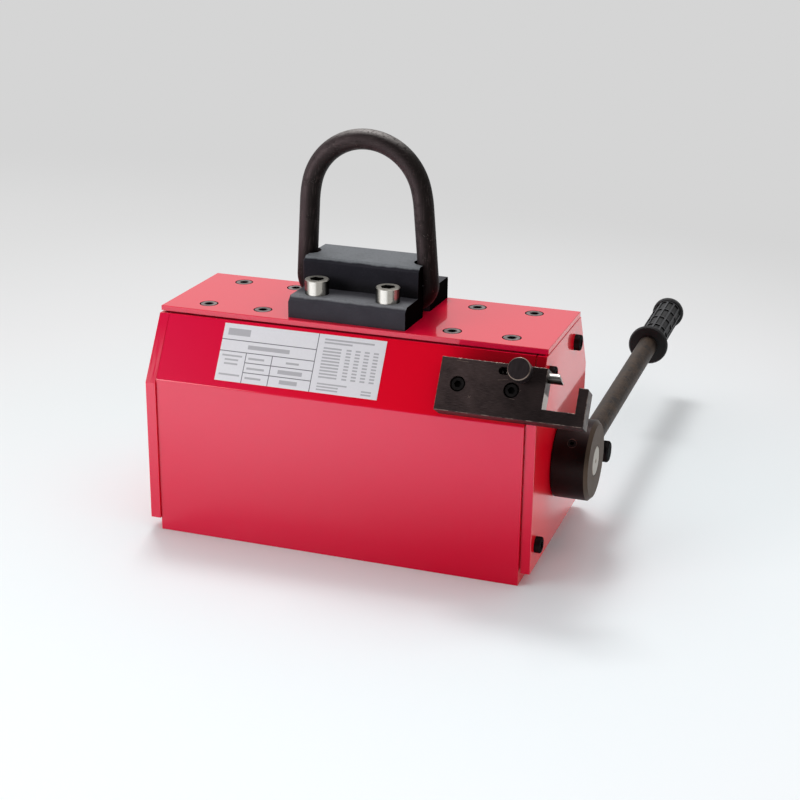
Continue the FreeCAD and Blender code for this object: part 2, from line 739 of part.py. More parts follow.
def latch_knob():
    """Round pull knob whose stem passes the slot and screws into the bolt."""
    radius = KNOB_D / 2
    neck_low = LATCH_T + MOVING_GAP
    knob_low = neck_low + KNOB_NECK_T
    knob_high = knob_low + KNOB_T
    profile = [
        (0, BOLT_H - LATCH_STEM_SUNK + SEAT_FIT),
        (LATCH_STEM_D / 2, BOLT_H - LATCH_STEM_SUNK + SEAT_FIT),
        (LATCH_STEM_D / 2, neck_low),
        (KNOB_NECK_D / 2, neck_low),
        (KNOB_NECK_D / 2, knob_low),
        (radius - KNOB_EDGE, knob_low),
        (radius, knob_low + KNOB_EDGE),
        (radius, knob_high - KNOB_EDGE),
        (radius - KNOB_EDGE, knob_high),
        (0, knob_high),
    ]
    return on_slope(turned(profile, V(STEM_X, BOLT_S, 0), UP))


def latch_spring():
    """Compression spring between the bore's blind end and the bolt's tail."""
    wire = SPRING_WIRE_D / 2
    coil = LATCH_BOLT_D / 2 - SPRING_WIRE_D
    length = BOLT_TAIL - SPRING_END - SPRING_WIRE_D - 2 * SEAT_FIT
    path = Part.makeHelix(length / SPRING_TURNS, length, coil)
    section = Part.Wire(Part.makeCircle(wire, V(coil, 0, 0), V(0, 1, 0)))
    coil_solid = Part.Wire(path).makePipeShell([section], True, True)
    return on_slope(put(coil_solid, V(SPRING_END + wire + SEAT_FIT, BOLT_S, BOLT_H), ALONG))


# Lifting lug and ring
RING_BAR_R = RING_BAR_D / 2
RING_RUN_Z = BODY_HEIGHT + RING_BAR_R + SEAT_FIT + RING_LIFT


def lug_turned(shape):
    return shape.rotated(LUG_MIDDLE, UP, LUG_TURN)


def leaned(shape):
    return shape.rotated(V(LUG_X, LUG_Y, RING_RUN_Z), BACK, RING_LEAN)


def ring_half():
    """Centre line of the ring's right half, as (kind, centre or start, angle or end) in the XZ plane."""
    crown_end = math.radians(RING_CROWN_END)
    lean = math.radians(RING_LEG_LEAN)
    crown = V(LUG_X, LUG_Y, RING_TOP - RING_BAR_R - RING_CROWN_R)
    shoulder = crown + V(math.cos(crown_end), 0, math.sin(crown_end)) * (RING_CROWN_R - RING_SHOULDER_R)
    leg_top = shoulder + V(math.cos(lean), 0, math.sin(lean)) * RING_SHOULDER_R
    bend_z = RING_RUN_Z + RING_BEND_R
    leg_length = (leg_top.z - bend_z - RING_BEND_R * math.sin(lean)) / math.cos(lean)
    leg_end = leg_top + V(math.sin(lean), 0, -math.cos(lean)) * leg_length
    bend = leg_end - V(math.cos(lean), 0, math.sin(lean)) * RING_BEND_R
    return crown, shoulder, leg_top, leg_end, bend


def ring_arc(centre, radius, start, end, bar_r):
    """Round bar bent about a centre, from one angle down to another, in degrees above the X axis."""
    turn = math.radians(start)
    point = centre + V(math.cos(turn), 0, math.sin(turn)) * radius
    tangent = V(math.sin(turn), 0, -math.cos(turn))
    disc = Part.Face(Part.Wire(Part.makeCircle(bar_r, point, tangent)))
    return disc.revolve(centre, BACK, start - end)


def ring_solid(bar_r):
    crown, shoulder, leg_top, leg_end, bend = ring_half()
    run_end = V(bend.x, LUG_Y, RING_RUN_Z)
    half = [
        ring_arc(crown, RING_CROWN_R, 90, RING_CROWN_END, bar_r),
        ring_arc(shoulder, RING_SHOULDER_R, RING_CROWN_END, RING_LEG_LEAN, bar_r),
        cylinder(leg_top, leg_end - leg_top, bar_r, (leg_end - leg_top).Length),
        ring_arc(bend, RING_BEND_R, RING_LEG_LEAN, -90, bar_r),
        cylinder(run_end, -ALONG, bar_r, run_end.x - LUG_X),
    ]
    other = [piece.mirror(V(LUG_X, 0, 0), ALONG) for piece in half]
    return leaned(half[0].fuse(half[1:] + other).removeSplitter())


def lug_block():
    """Steel saddle over the ring's lower run, with a round notch at each end for the ring's legs."""
    flange = BODY_HEIGHT + LUG_FLANGE_T
    top = BODY_HEIGHT + LUG_HEIGHT

    def steps(side, foot, middle, chamfer):
        half = [
            (foot, BODY_HEIGHT),
            (foot, flange - chamfer),
            (foot - chamfer, flange),
            (middle, flange),
            (middle, top - chamfer),
            (middle - chamfer, top),
        ]
        return [(LUG_Y + side * y, z) for y, z in half]

    front = steps(-1, LUG_FRONT, LUG_MIDDLE_FRONT, LUG_CHAMFER)
    back = steps(1, LUG_BACK, LUG_MIDDLE_BACK, LUG_BACK_CHAMFER)
    ends = (LUG_X - LUG_LEFT, LUG_X + LUG_RIGHT)
    saddle = prism_x(front + back[::-1], *ends)
    saddle = chamfered(saddle, LUG_END_CHAMFER,
                       lambda point: point.x in ends and not close(point.z, BODY_HEIGHT))
    channel = RING_BAR_R + SEAT_FIT
    notch_r = RING_BAR_R + RING_NOTCH_ROOM
    _, _, leg_top, leg_end, _ = ring_half()
    notch = cylinder(leg_end, leg_top - leg_end, notch_r, LUG_HEIGHT)
    cuts = [
        ring_solid(channel),
        block(*ends, LUG_Y - channel, LUG_Y + channel, BODY_HEIGHT, RING_RUN_Z + RING_LIFT),
        leaned(notch),
        leaned(notch.mirror(V(LUG_X, 0, 0), ALONG)),
    ]
    return lug_turned(saddle.cut(cuts)).cut(at_each(thread_hole(LUG_SCREW), LUG_SCREW_PLACES, UP))


def screw_group(size, make, places, axis):
    return Part.makeCompound(at_each(make(size), places, axis))


NODES = {
    "front_pole": pole(-1),
    "rear_pole": pole(1),
    "pole_spacer": pole_spacer(),
    "fixed_magnets": fixed_magnets(),
    "top_plate": top_plate(),
    "top_plate_screws": screw_group(TOP_SCREW, countersunk_screw, TOP_SCREW_PLACES, UP),
    "left_end_plate": end_plate(-1),
    "right_end_plate": end_plate(1),
    "left_end_screws": screw_group(END_SCREW, cap_screw, end_screw_places(-1), V(-1, 0, 0)),
    "right_end_screws": screw_group(END_SCREW, cap_screw, end_screw_places(1), V(1, 0, 0)),
    "left_bush": bush(-1),
    "right_bush": bush(1),
    "rotor_front_shoe": rotor_shoe(-1),
    "rotor_rear_shoe": rotor_shoe(1),
    "rotor_magnets": rotor_magnets(),
    "left_rotor_cap": rotor_cap(-1),
    "right_rotor_cap": rotor_cap(1),
    "rotor_cap_screws": rotor_cap_screws(),
    "hub_key": key_block(0),
    "lever_hub": lever_hub(),
    "hub_grub_screw": hub_grub_screw(),
    "lever_rod": lever_rod(),
    "lever_grip": lever_grip(),
    "lever_stop": lever_stop(),
    "latch_plate": latch_plate(),
    "latch_plate_screws": latch_screws(),
    "latch_bolt": latch_bolt(),
    "latch_knob": latch_knob(),
    "latch_spring": latch_spring(),
    "lug_block": lug_block(),
    "lug_screws": screw_group(LUG_SCREW, cap_screw, LUG_SCREW_PLACES, UP),
    "lifting_ring": lug_turned(ring_solid(RING_BAR_R)),
}

os.makedirs("parts", exist_ok=True)
for name, shape in NODES.items():
    shape.exportStep(os.path.join("parts", name + ".step"))
    state = "valid" if shape.isValid() else "INVALID"
    print(name, len(shape.Solids), "solids", round(shape.Volume), "mm3", state)
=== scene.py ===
# %% [markdown]
# # A permanent magnetic lifter
# CAD has already made every solid of this lifter at its real size: the red housing, the lever with its
# rotor, the sprung lock and the lifting ring. This lesson gives each of them the finish that it has in
# a workshop, adds the type plate, sets a copy in place of the lock's spring, and sets up a small studio
# around them.
# The solids are loaded as a fixed frame, in metres, and nothing here moves them.

# %% The fixed frame
import json
import math
from functools import reduce

import bmesh
import bpy
from mathutils import Matrix, Quaternion, Vector

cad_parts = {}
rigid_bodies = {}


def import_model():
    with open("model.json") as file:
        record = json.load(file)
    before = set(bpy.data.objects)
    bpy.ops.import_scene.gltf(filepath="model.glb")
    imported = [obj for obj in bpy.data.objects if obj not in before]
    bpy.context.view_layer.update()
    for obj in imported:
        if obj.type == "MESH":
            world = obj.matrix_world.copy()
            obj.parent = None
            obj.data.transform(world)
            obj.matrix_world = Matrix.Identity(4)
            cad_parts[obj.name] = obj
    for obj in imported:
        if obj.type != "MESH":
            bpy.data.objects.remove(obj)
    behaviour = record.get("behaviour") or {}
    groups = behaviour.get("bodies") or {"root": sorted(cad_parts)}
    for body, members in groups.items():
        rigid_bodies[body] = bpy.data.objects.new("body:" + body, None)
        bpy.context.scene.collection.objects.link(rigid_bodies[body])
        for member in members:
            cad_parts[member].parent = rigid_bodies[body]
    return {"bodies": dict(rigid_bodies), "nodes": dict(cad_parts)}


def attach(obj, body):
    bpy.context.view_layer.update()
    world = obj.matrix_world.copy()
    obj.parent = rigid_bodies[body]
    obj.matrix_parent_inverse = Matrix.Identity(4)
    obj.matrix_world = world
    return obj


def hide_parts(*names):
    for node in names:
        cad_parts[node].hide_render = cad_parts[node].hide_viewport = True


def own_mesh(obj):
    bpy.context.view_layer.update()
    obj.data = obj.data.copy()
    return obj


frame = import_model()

scene = bpy.context.scene
nodes = frame["nodes"]
kept = list(nodes.values()) + list(frame["bodies"].values())
for leftover in [thing for thing in bpy.data.objects if thing not in kept]:
    bpy.data.objects.remove(leftover)
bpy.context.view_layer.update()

# %% [markdown]
# ## The camera
# A photograph of a box shows where its camera stood: the way its edges run together gives the lens, and
# the corners give the place. The lens was solved in pixels of an 800 pixel picture, so here it is turned
# into Blender's millimetres. A quaternion holds the direction of view and the small roll together.

# %% Camera
CAMERA_PLACE = (0.512027, -1.412134, 0.669672)
CAMERA_AZIMUTH = math.radians(18.7903)
CAMERA_LOOKDOWN = math.radians(19.8513)
CAMERA_ROLL = math.radians(0.7182)
PICTURE_PIXELS = 800
LENS_PIXELS = 1589.86

towards_camera = Vector(
    (
        math.sin(CAMERA_AZIMUTH) * math.cos(CAMERA_LOOKDOWN),
        -math.cos(CAMERA_AZIMUTH) * math.cos(CAMERA_LOOKDOWN),
        math.sin(CAMERA_LOOKDOWN),
    )
)
camera = bpy.data.objects.new("camera", bpy.data.cameras.new("camera"))
scene.collection.objects.link(camera)
camera.data.lens = LENS_PIXELS * camera.data.sensor_width / PICTURE_PIXELS
camera.location = CAMERA_PLACE
camera.rotation_mode = "QUATERNION"
camera.rotation_quaternion = (-towards_camera).to_track_quat("-Z", "Y") @ Quaternion((0, 0, 1), CAMERA_ROLL)
scene.camera = camera
print("lens in mm:", round(camera.data.lens, 2))

# %% [markdown]
# ## Shader maths as Python
# A finish is a network of nodes, and most of it is arithmetic on masks. Wiring that by hand hides the
# idea, so one small class wraps a socket and overloads the operators: an expression such as
# `1 - mask * 0.3` then adds its own Math nodes. Every other node comes from the one method `node`.

# %% The Wire class
class Wire:
    """One output socket of a node tree, for writing shader maths as Python expressions."""

    def __init__(self, tree, socket):
        self.tree = tree
        self.socket = socket

    def node(self, kind, settings, inputs, output=0):
        """Adds a node: its settings first, then a value or a link on each named or numbered socket."""
        made = self.tree.nodes.new(kind)
        for name, value in settings.items():
            setattr(made, name, value)
        for key, value in inputs.items():
            if isinstance(value, Wire):
                self.tree.links.new(value.socket, made.inputs[key])
            else:
                made.inputs[key].default_value = value
        return Wire(self.tree, made.outputs[output])

    def math(self, operation, first, second=0.0):
        return self.node("ShaderNodeMath", {"operation": operation}, {0: first, 1: second})

    def __add__(self, other):
        return self.math("ADD", self, other)

    def __sub__(self, other):
        return self.math("SUBTRACT", self, other)

    def __rsub__(self, other):
        return self.math("SUBTRACT", other, self)

    def __mul__(self, other):
        return self.math("MULTIPLY", self, other)

    def __truediv__(self, other):
        return self.math("DIVIDE", self, other)

    def __pow__(self, other):
        return self.math("POWER", self, other)

    def __abs__(self):
        return self.math("ABSOLUTE", self)

    __radd__ = __add__
    __rmul__ = __mul__

    def most(self, other):
        return self.math("MAXIMUM", self, other)

    def least(self, other):
        return self.math("MINIMUM", self, other)

    def outputs(self):
        """Every output of the node that this wire comes from, by name."""
        return {socket.name: Wire(self.tree, socket) for socket in self.socket.node.outputs}

    def split(self):
        """The x, y and z of a vector."""
        return self.node("ShaderNodeSeparateXYZ", {}, {0: self}).outputs().values()

    def vector(self, operation, other, output=0):
        return self.node("ShaderNodeVectorMath", {"operation": operation}, {0: self, 1: other}, output)

    def along(self, *factors):
        """Stretches a pattern: a small factor makes long marks along that axis."""
        return self.vector("MULTIPLY", factors)

    def turned_to(self, origin, turn):
        """The same point measured from another origin along turned axes."""
        sockets = {"Vector": self, "Location": origin, "Rotation": turn}
        return self.node("ShaderNodeMapping", {"vector_type": "TEXTURE"}, sockets)

    def noise(self, scale, detail=2.0, roughness=0.5):
        """Cloudy noise, about 0.5 on average; scale is lumps per metre."""
        sockets = {"Vector": self, "Scale": scale, "Detail": detail, "Roughness": roughness}
        return self.node("ShaderNodeTexNoise", {}, sockets)

    def grains(self, scale):
        """Distance to the nearest of randomly strewn points, in cell widths."""
        return self.node("ShaderNodeTexVoronoi", {}, {"Vector": self, "Scale": scale})

    def ramp(self, low, high):
        """0 below low, 1 above high and smooth between; turned round where low is the larger."""
        edges = {"Value": self, "From Min": low, "From Max": high}
        return self.node("ShaderNodeMapRange", {"interpolation_type": "SMOOTHSTEP"}, edges)

    def mix(self, first, second):
        """One colour where this mask is 0 and the other where it is 1."""
        return self.node("ShaderNodeMix", {"data_type": "RGBA"}, {0: self, 6: first, 7: second}, 2)

    def bump(self, depth, under=None):
        """A normal that tilts as if this height stood up by depth metres, over another bump if given."""
        sockets = {"Height": self, "Distance": depth}
        if under is not None:
            sockets["Normal"] = under
        return self.node("ShaderNodeBump", {}, sockets)


print("methods of a wire:", sum(callable(value) for value in vars(Wire).values()))

# %% [markdown]
# ## Colours
# A paint chip is given in the numbers of a picture, 0 to 255, but Blender counts light in linear values.
# One function turns the first into the second, so that every colour below reads like a chip.

# %% Chips and greys
def srgb(red, green, blue):
    """A colour as a paint chip gives it, 0 to 255, turned into Blender's linear values."""
    linear = [((c / 255 + 0.055) / 1.055) ** 2.4 if c > 10 else c / 255 / 12.92 for c in (red, green, blue)]
    return (*linear, 1.0)


def grey(level):
    return (level, level, level, 1.0)


print("a mid grey chip is", [round(v, 3) for v in srgb(128, 128, 128)])

# %% [markdown]
# ## Floor and backdrop
# The lifter stands on a pale studio floor that is white in front and greys towards the back. A curved
# backdrop could do this from one side; a large disc does it from every side.

# %% Floor disc
FLOOR_RADIUS = 14.0
FLOOR_DROP = 0.0002
FLOOR_CORNERS = 96

disc = bmesh.new()
bmesh.ops.create_circle(disc, cap_ends=True, segments=FLOOR_CORNERS, radius=FLOOR_RADIUS)
bmesh.ops.translate(disc, verts=disc.verts, vec=(0, 0, -FLOOR_DROP))
floor = bpy.data.objects.new("floor", bpy.data.meshes.new("floor"))
disc.to_mesh(floor.data)
disc.free()
scene.collection.objects.link(floor)
print("floor radius in m:", FLOOR_RADIUS)

# %% [markdown]
# ## Floor paint
# Near the lifter the floor is plain paint, which takes the real shadows. The paint is whitest round a bright
# spot and greyer away from it, a painted falloff of light, and near the lifter it loses a little red, painted
# against the red light that the housing throws on it. Further off it fades to a glow of the backdrop's own
# grey, which only the camera and reflections see. A floor painted all over would need more light to look as
# pale, and that light would fall on the lifter too.

# %% Floor paint
FLOOR_WHITE = (0.945, 0.962, 0.985, 1.0)
FLOOR_PALE = (0.755, 0.76, 0.765, 1.0)
FLOOR_COOL = (0.945, 1.0, 1.0)
BACKDROP_GREY = 0.665
BACKDROP_PALE = 0.74
BRIGHT_SPOT = (0.38, -0.32, 0.0)
PALE_SPOT = (-0.9, -0.5, 0.0)


def first_wire(owner, kind, output):
    """Turns on a material's or the world's nodes, and gives one output of a new first node."""
    owner.use_nodes = True
    tree = owner.node_tree
    return Wire(tree, tree.nodes.new(kind).outputs[output])


def rays_that_see(start):
    """1 for camera, mirror and see-through rays, 0 for rays that carry light."""
    path = start.node("ShaderNodeLightPath", {}, {}).outputs()
    return path["Is Camera Ray"].most(path["Is Glossy Ray"]).most(path["Is Transmission Ray"])


def set_surface(owner, output_kind, share, first, second):
    """Joins two mixed shaders to the output of a material or the world."""
    mixed = share.node("ShaderNodeMixShader", {}, {0: share, 1: first, 2: second})
    output = next(n for n in owner.node_tree.nodes if n.bl_idname == output_kind)
    owner.node_tree.links.new(mixed.socket, output.inputs["Surface"])


paint = bpy.data.materials.new("floor_paint")
place = first_wire(paint, "ShaderNodeTexCoord", "Object")
from_spot = place.vector("DISTANCE", BRIGHT_SPOT, 1)
from_lifter = place.vector("LENGTH", (0, 0, 0), 1)
# Whitest round BRIGHT_SPOT and greyer away from it: a painted falloff of light.
shade = from_spot.ramp(0.15, 1.35).mix(FLOOR_WHITE, FLOOR_PALE)
# Near the lifter a little red is taken out, painted against the housing's red light on the floor.
shade = from_lifter.ramp(0.8, 0.25).mix(shade, shade.vector("MULTIPLY", FLOOR_COOL))
from_pale = place.vector("DISTANCE", PALE_SPOT, 1)
glow = from_pale.ramp(1.2, 2.2).mix(grey(BACKDROP_PALE), grey(BACKDROP_GREY))
painted = place.node("ShaderNodeBsdfDiffuse", {}, {"Color": shade})
glowing = place.node("ShaderNodeEmission", {}, {"Color": glow})
faded = from_lifter.ramp(0.6, 1.4) * rays_that_see(place)
set_surface(paint, "ShaderNodeOutputMaterial", faded, painted, glowing)
floor.data.materials.append(paint)
print("floor paint:", len(paint.node_tree.nodes), "nodes")

# %% [markdown]
# ## The room
# The glossy slope mirrors a dark place above and in front, while the ends and the top mirror a bright room.
# A picture of a studio could be wrapped round the scene; a formula is simpler and can be changed. The room
# is much lighter overhead, a little lighter behind and at the left, and has that one dark patch.

# %% Room
SLOPE_MIRRORS = Vector((-0.25, -0.72, 0.65))
ROOM_LEVEL = 0.20
ROOM_UP = 0.92
ROOM_BACK = 0.12
ROOM_RIGHT = -0.10

world = bpy.data.worlds.new("studio_room")
scene.world = world
direction = first_wire(world, "ShaderNodeTexCoord", "Generated")
right, behind, above = direction.split()
dark_patch = direction.vector("DOT_PRODUCT", SLOPE_MIRRORS, 1).ramp(0.78, 0.92)
room = (ROOM_LEVEL + above * ROOM_UP + behind * ROOM_BACK + right * ROOM_RIGHT) * (1 - dark_patch)
lit = direction.node("ShaderNodeBackground", {}, {"Color": grey(1.0), "Strength": room})
seen = direction.node("ShaderNodeBackground", {}, {"Color": grey(BACKDROP_GREY)})
camera_sees = direction.node("ShaderNodeLightPath", {}, {}).outputs()["Is Camera Ray"]
set_surface(world, "ShaderNodeOutputWorld", camera_sees, lit, seen)
print("room:", len(world.node_tree.nodes), "nodes")

# %% [markdown]
# ## Lamps
# The shadows show one large softbox overhead, to the left and a little behind. A weak, low one at the front
# left keeps the front from going dull. A lamp's size softens its shadow, so both are wide squares.

# %% Lamps
LAMP_AIM = Vector((0, 0, 0.1))


def softbox(name, towards, distance, size, watts):
    """A square lamp that far away in that direction, facing the lifter."""
    lamp = bpy.data.objects.new(name, bpy.data.lights.new(name, "AREA"))
    lamp.data.shape = "SQUARE"
    lamp.data.size = size
    lamp.data.energy = watts
    away = Vector(towards).normalized()
    lamp.location = LAMP_AIM + away * distance
    lamp.rotation_mode = "QUATERNION"
    lamp.rotation_quaternion = (-away).to_track_quat("-Z", "Y")
    scene.collection.objects.link(lamp)


softbox("overhead_softbox", towards=(-0.23, 0.38, 0.90), distance=4.5, size=1.2, watts=68)
softbox("front_left_fill", towards=(-0.66, -0.70, 0.26), distance=1.9, size=1.0, watts=14.5)
scene.view_settings.view_transform = "Standard"

# %% [markdown]
# ## A finish for every slot
# The CAD file names a material slot on each solid. A finish is a material with procedural nodes that read
# Object coordinates, so its marks keep their real size in millimetres on every piece. Each finish below is
# stored under its slot's name, and one loop at the end puts them on the solids.

# %% Starting and setting a finish
finishes = {}


def start_finish(slot, title):
    """A new material for a slot: where a point is and which way its surface faces, in the frame."""
    material = bpy.data.materials.new(title)
    finishes[slot] = material
    place = first_wire(material, "ShaderNodeTexCoord", "Object")
    return material, place, place.outputs()["Normal"]


def set_finish(material, sockets):
    """Gives values or links to the sockets of a material's shader."""
    shader = material.node_tree.nodes["Principled BSDF"]
    for name, value in sockets.items():
        if isinstance(value, Wire):
            material.node_tree.links.new(value.socket, shader.inputs[name])
        else:
            shader.inputs[name].default_value = value
    print("finish:", material.name, len(material.node_tree.nodes), "nodes")


def between(value, low, high, blur=0.00005):
    """1 where a coordinate lies between two places."""
    return value.ramp(low - blur, low + blur) * value.ramp(high + blur, high - blur)


def apart(first, second):
    """How far a point is from an axis, from its two offsets."""
    return (first * first + second * second) ** 0.5


slots = {slot.material.name for node in nodes.values() for slot in node.material_slots}
print("slots to finish:", len(slots))

# %% [markdown]
# ## Crimson enamel: telling the sides apart
# The housing is sprayed steel. A studio shades each of its sides in its own way, and two lamps in a plain
# room don't give all of that, so part of it is set in the paint. Masks from the surface's direction tell
# the sides apart. They belong to the lifter and not to the camera, so every view has the same paint.

# %% Sides of the housing
GROUND_EDGE = (0.0006, 0.0002)
LOW_FROM = 0.16

material, place, facing = start_finish("red_enamel", "crimson_enamel")
length, depth, height = place.split()
rightward, forward, upward = facing.split()
ground = height.ramp(*GROUND_EDGE) * upward.ramp(-0.5, -0.9)
top = upward.ramp(0.9, 0.99)
front = forward.ramp(-0.9, -0.99)
slope = forward.ramp(-0.7, -0.8) * forward.ramp(-0.95, -0.9)
knee = forward.ramp(-0.88, -0.93) * forward.ramp(-0.995, -0.985)
end = rightward.ramp(0.9, 0.99)
away = forward.ramp(0.5, 0.8).most(rightward.ramp(-0.9, -0.99))
low = height.ramp(LOW_FROM, 0.0)
print("sides told apart with", len(material.node_tree.nodes), "nodes")

# %% [markdown]
# ## Crimson enamel: sunk places
# The holes around the top plate's screws and the seam under that plate see little light. Painted like the
# rest they come out too light, so they are painted dark, as painted shade. Two masks find them by place: a
# ring round each screw's axis just below the plate's surface, and a thin band of height inside the plate's
# outline.

# %% Sunk places
TOP_HEIGHT = 0.223
TOP_SKIN = (TOP_HEIGHT - 0.0001, TOP_HEIGHT - 0.0003)
TOP_SCREWS_X = (0.155, 0.097)
TOP_SCREWS_Y = 0.042
SUNK_RING = (0.0096, 0.0095)
TOP_SEAM = (0.21505, 0.21665)
SEAM_OUT = (0.0665, 0.0662)
SEAM_ENDS = (0.1925, 0.192)


def from_top_screws(place):
    """Distance from the axis of the nearest screw in the top plate."""
    length, depth, _ = place.split()
    along = [abs(abs(length) - x) for x in TOP_SCREWS_X]
    return apart(reduce(Wire.least, along), abs(depth) - TOP_SCREWS_Y)


def under_top(place):
    """1 just below the top plate's surface and 0 on it."""
    _, _, height = place.split()
    return height.ramp(*TOP_SKIN)


holes = from_top_screws(place).ramp(*SUNK_RING) * under_top(place)
seam = between(height, *TOP_SEAM) * abs(depth).ramp(*SEAM_OUT) * abs(length).ramp(*SEAM_ENDS)
sunk = holes.most(seam)
print("sunk places found with", len(material.node_tree.nodes), "nodes")

# %% [markdown]
# ## Crimson enamel: the reds
# One red is not enough, and most of its changes are painted light and shade: the top is painted lighter, the
# front cooler and darker towards the floor and the right, the slope warms to the right and is painted darker
# above the lock plate as its shade, the end is painted brighter and the far sides deeper. Each is a chip
# mixed in by its side's mask. The left plate's slope also has painted gleams in fine streaks, which are
# stretched noise.

# %% Reds
ENAMEL = (srgb(232, 0, 47), srgb(238, 0, 50))
ENAMEL_LIT = srgb(247, 6, 58)
ENAMEL_FRONT = (srgb(236, 4, 68), srgb(212, 0, 46))
ENAMEL_END_LIT = srgb(255, 0, 34)
ENAMEL_AWAY_SHADED = srgb(214, 0, 44)
SLOPE_RED = (srgb(232, 0, 64), srgb(240, 0, 38))
SLOPE_GLEAM = srgb(238, 84, 104)
SLOPE_SHADED = srgb(164, 0, 22)
SUNK_SHADE = srgb(40, 4, 10)
SEAM_SHADE = srgb(140, 0, 24)
LEFT_PLATE = (-0.1851, -0.1857)
GLEAM_HEIGHT = (0.21, 0.165)
LOCK_SHADE_X = (0.09, 0.15)
LOCK_SHADE_HEIGHT = (0.185, 0.2)

clouds = place.noise(11, 4)
# Painted shade down the front, deepest at the bottom right.
front_shade = low * (0.45 + length.ramp(-0.2, 0.2) * 0.55)
# Painted gleams in streaks on the left plate's slope.
gleam = length.ramp(*LEFT_PLATE) * height.ramp(*GLEAM_HEIGHT)
gleam = gleam * place.along(900, 40, 40).noise(1, 2).ramp(0.3, 0.6)
# Painted shade on the slope above the lock plate.
lock_shade = length.ramp(*LOCK_SHADE_X) * height.ramp(*LOCK_SHADE_HEIGHT)
sloped = gleam.mix(length.ramp(-0.2, 0.08).mix(*SLOPE_RED), SLOPE_GLEAM)
sloped = lock_shade.mix(sloped, SLOPE_SHADED)
# Painted shade on the far sides, painted light on the top and the end.
red = away.mix(clouds.ramp(0.35, 0.7).mix(*ENAMEL), ENAMEL_AWAY_SHADED)
red = front.mix(top.mix(red, ENAMEL_LIT), front_shade.mix(*ENAMEL_FRONT))
red = end.mix(slope.mix(red, sloped), ENAMEL_END_LIT)
red = seam.mix(holes.mix(red, SUNK_SHADE), SEAM_SHADE)
print("reds mixed with", len(material.node_tree.nodes), "nodes")

# %% [markdown]
# ## Crimson enamel: gloss and ground steel
# Spray leaves a faint ripple, fine peel and a few nibs as it dries. One gloss layer is too weak for the pale
# mirror image on the ends, so the shader's own reflection and a coat work together, and the coat is dulled
# by side. The underside, which grips the load, is ground steel and has no paint.

# %% Enamel finish
GROUND_STEEL = (srgb(120, 117, 113), srgb(150, 147, 142))

front_dull = low * 0.65 + length.ramp(-0.15, 0.25) * 0.5
end_dull = 0.2 + depth.ramp(0.0, -0.07) * 0.35
dulled = front * front_dull + top * 0.2 + end * end_dull + away * 0.3 + knee * 0.6
peel = place.noise(480, 1)
ripple = place.noise(90, 2)
nibs = place.grains(170).ramp(0.07, 0.03)
grinding = place.along(9, 1300, 1300).noise(1, 3)
surface = (peel * 0.4 + ripple * 0.4 + nibs * 0.5) * (1 - ground) + grinding * ground
set_finish(
    material,
    {
        "Base Color": ground.mix(red, grinding.mix(*GROUND_STEEL)),
        "Metallic": ground,
        "Roughness": 0.26 + clouds * 0.06 + ground * 0.12 + sunk * 0.5,
        "IOR": 1.3,
        "Coat Weight": (1 - ground) * (1 - sunk) * (1 - dulled).most(0),
        "Coat Roughness": 0.035,
        "Coat IOR": 1.82,
        "Normal": surface.bump(0.00002),
    },
)

# %% [markdown]
# ## The hub
# The hub is turned on a lathe and blackened, so its face carries fine rings around the shaft and its side
# has rings along it. Both are noise that changes along one coordinate only: the distance from the shaft on
# the face, the length on the side. The face and its rim are painted browner and lighter than the side: a
# painted lighter side on the face, and on the rim partly worn colour and partly a painted highlight. A thin
# lighter ring is drawn round the grub screw's hole.

# %% Blackened hub
SHAFT_HEIGHT = 0.0945
LEVER_X = 0.2144
GRUB_TURN = math.radians(138)
GRUB_RADIUS = 0.0043
GRUB_START = (0.03, 0.035)
GRUB_RING_HALF = 0.0003
GRUB_RING_BLUR = 0.0002
HUB_DARK = (srgb(27, 19, 18), srgb(40, 32, 31))
HUB_LIT_AND_WORN = (srgb(72, 58, 47), srgb(100, 83, 71))
GRUB_RING_GREY = srgb(120, 108, 100)


def on_lever(place, turn):
    """Aside from, out along and above a line from the hub's middle; turn lifts the line."""
    return place.turned_to((LEVER_X, 0, SHAFT_HEIGHT), (turn, 0, 0)).split()


def only(value):
    """A point that moves along one coordinate only, for rings and lines."""
    return value.node("ShaderNodeCombineXYZ", {}, {"X": value})


material, place, facing = start_finish("hub", "blackened_turned_steel")
length, depth, height = place.split()
outward, _, _ = facing.split()
face = outward.ramp(0.9, 0.98)
rim = outward.ramp(0.3, 0.5) * (1 - face)
face_rings = only(apart(depth, height - SHAFT_HEIGHT)).noise(2300, 3)
side_rings = only(length).noise(2600, 3)
rings = face * face_rings + (1 - face) * side_rings
stains = place.noise(70, 4)
aside, out, rise = on_lever(place, GRUB_TURN)
# A thin lighter ring drawn round the grub screw's hole.
grub_ring = between(apart(aside, rise), GRUB_RADIUS - GRUB_RING_HALF, GRUB_RADIUS + GRUB_RING_HALF, GRUB_RING_BLUR)
grub_ring = grub_ring * out.ramp(*GRUB_START) * stains.ramp(0.3, 0.6) * 0.6
# Face and rim in the lighter brown: painted light, on the rim partly wear.
colour = (face + rim * 0.8).mix(stains.mix(*HUB_DARK), face_rings.mix(*HUB_LIT_AND_WORN))
set_finish(
    material,
    {
        "Base Color": grub_ring.mix(colour, GRUB_RING_GREY),
        "Metallic": 0.88,
        "Roughness": 0.30 + stains * 0.12 + rings * 0.06 + face * 0.18,
        "Normal": rings.bump(0.000012),
    },
)

# %% [markdown]
# ## Black screws
# The end, lock and grub screws and the lever's stop are black oxide, a thin coat that keeps the steel's own
# surface. It could be one flat black, but stains and a fine grit make it steel. Faces that look out of the
# right-hand end are set nearly black, because they are in shade there.

# %% Black oxide
OXIDE = (srgb(26, 24, 24), srgb(46, 43, 43))
OXIDE_END = srgb(6, 6, 6)

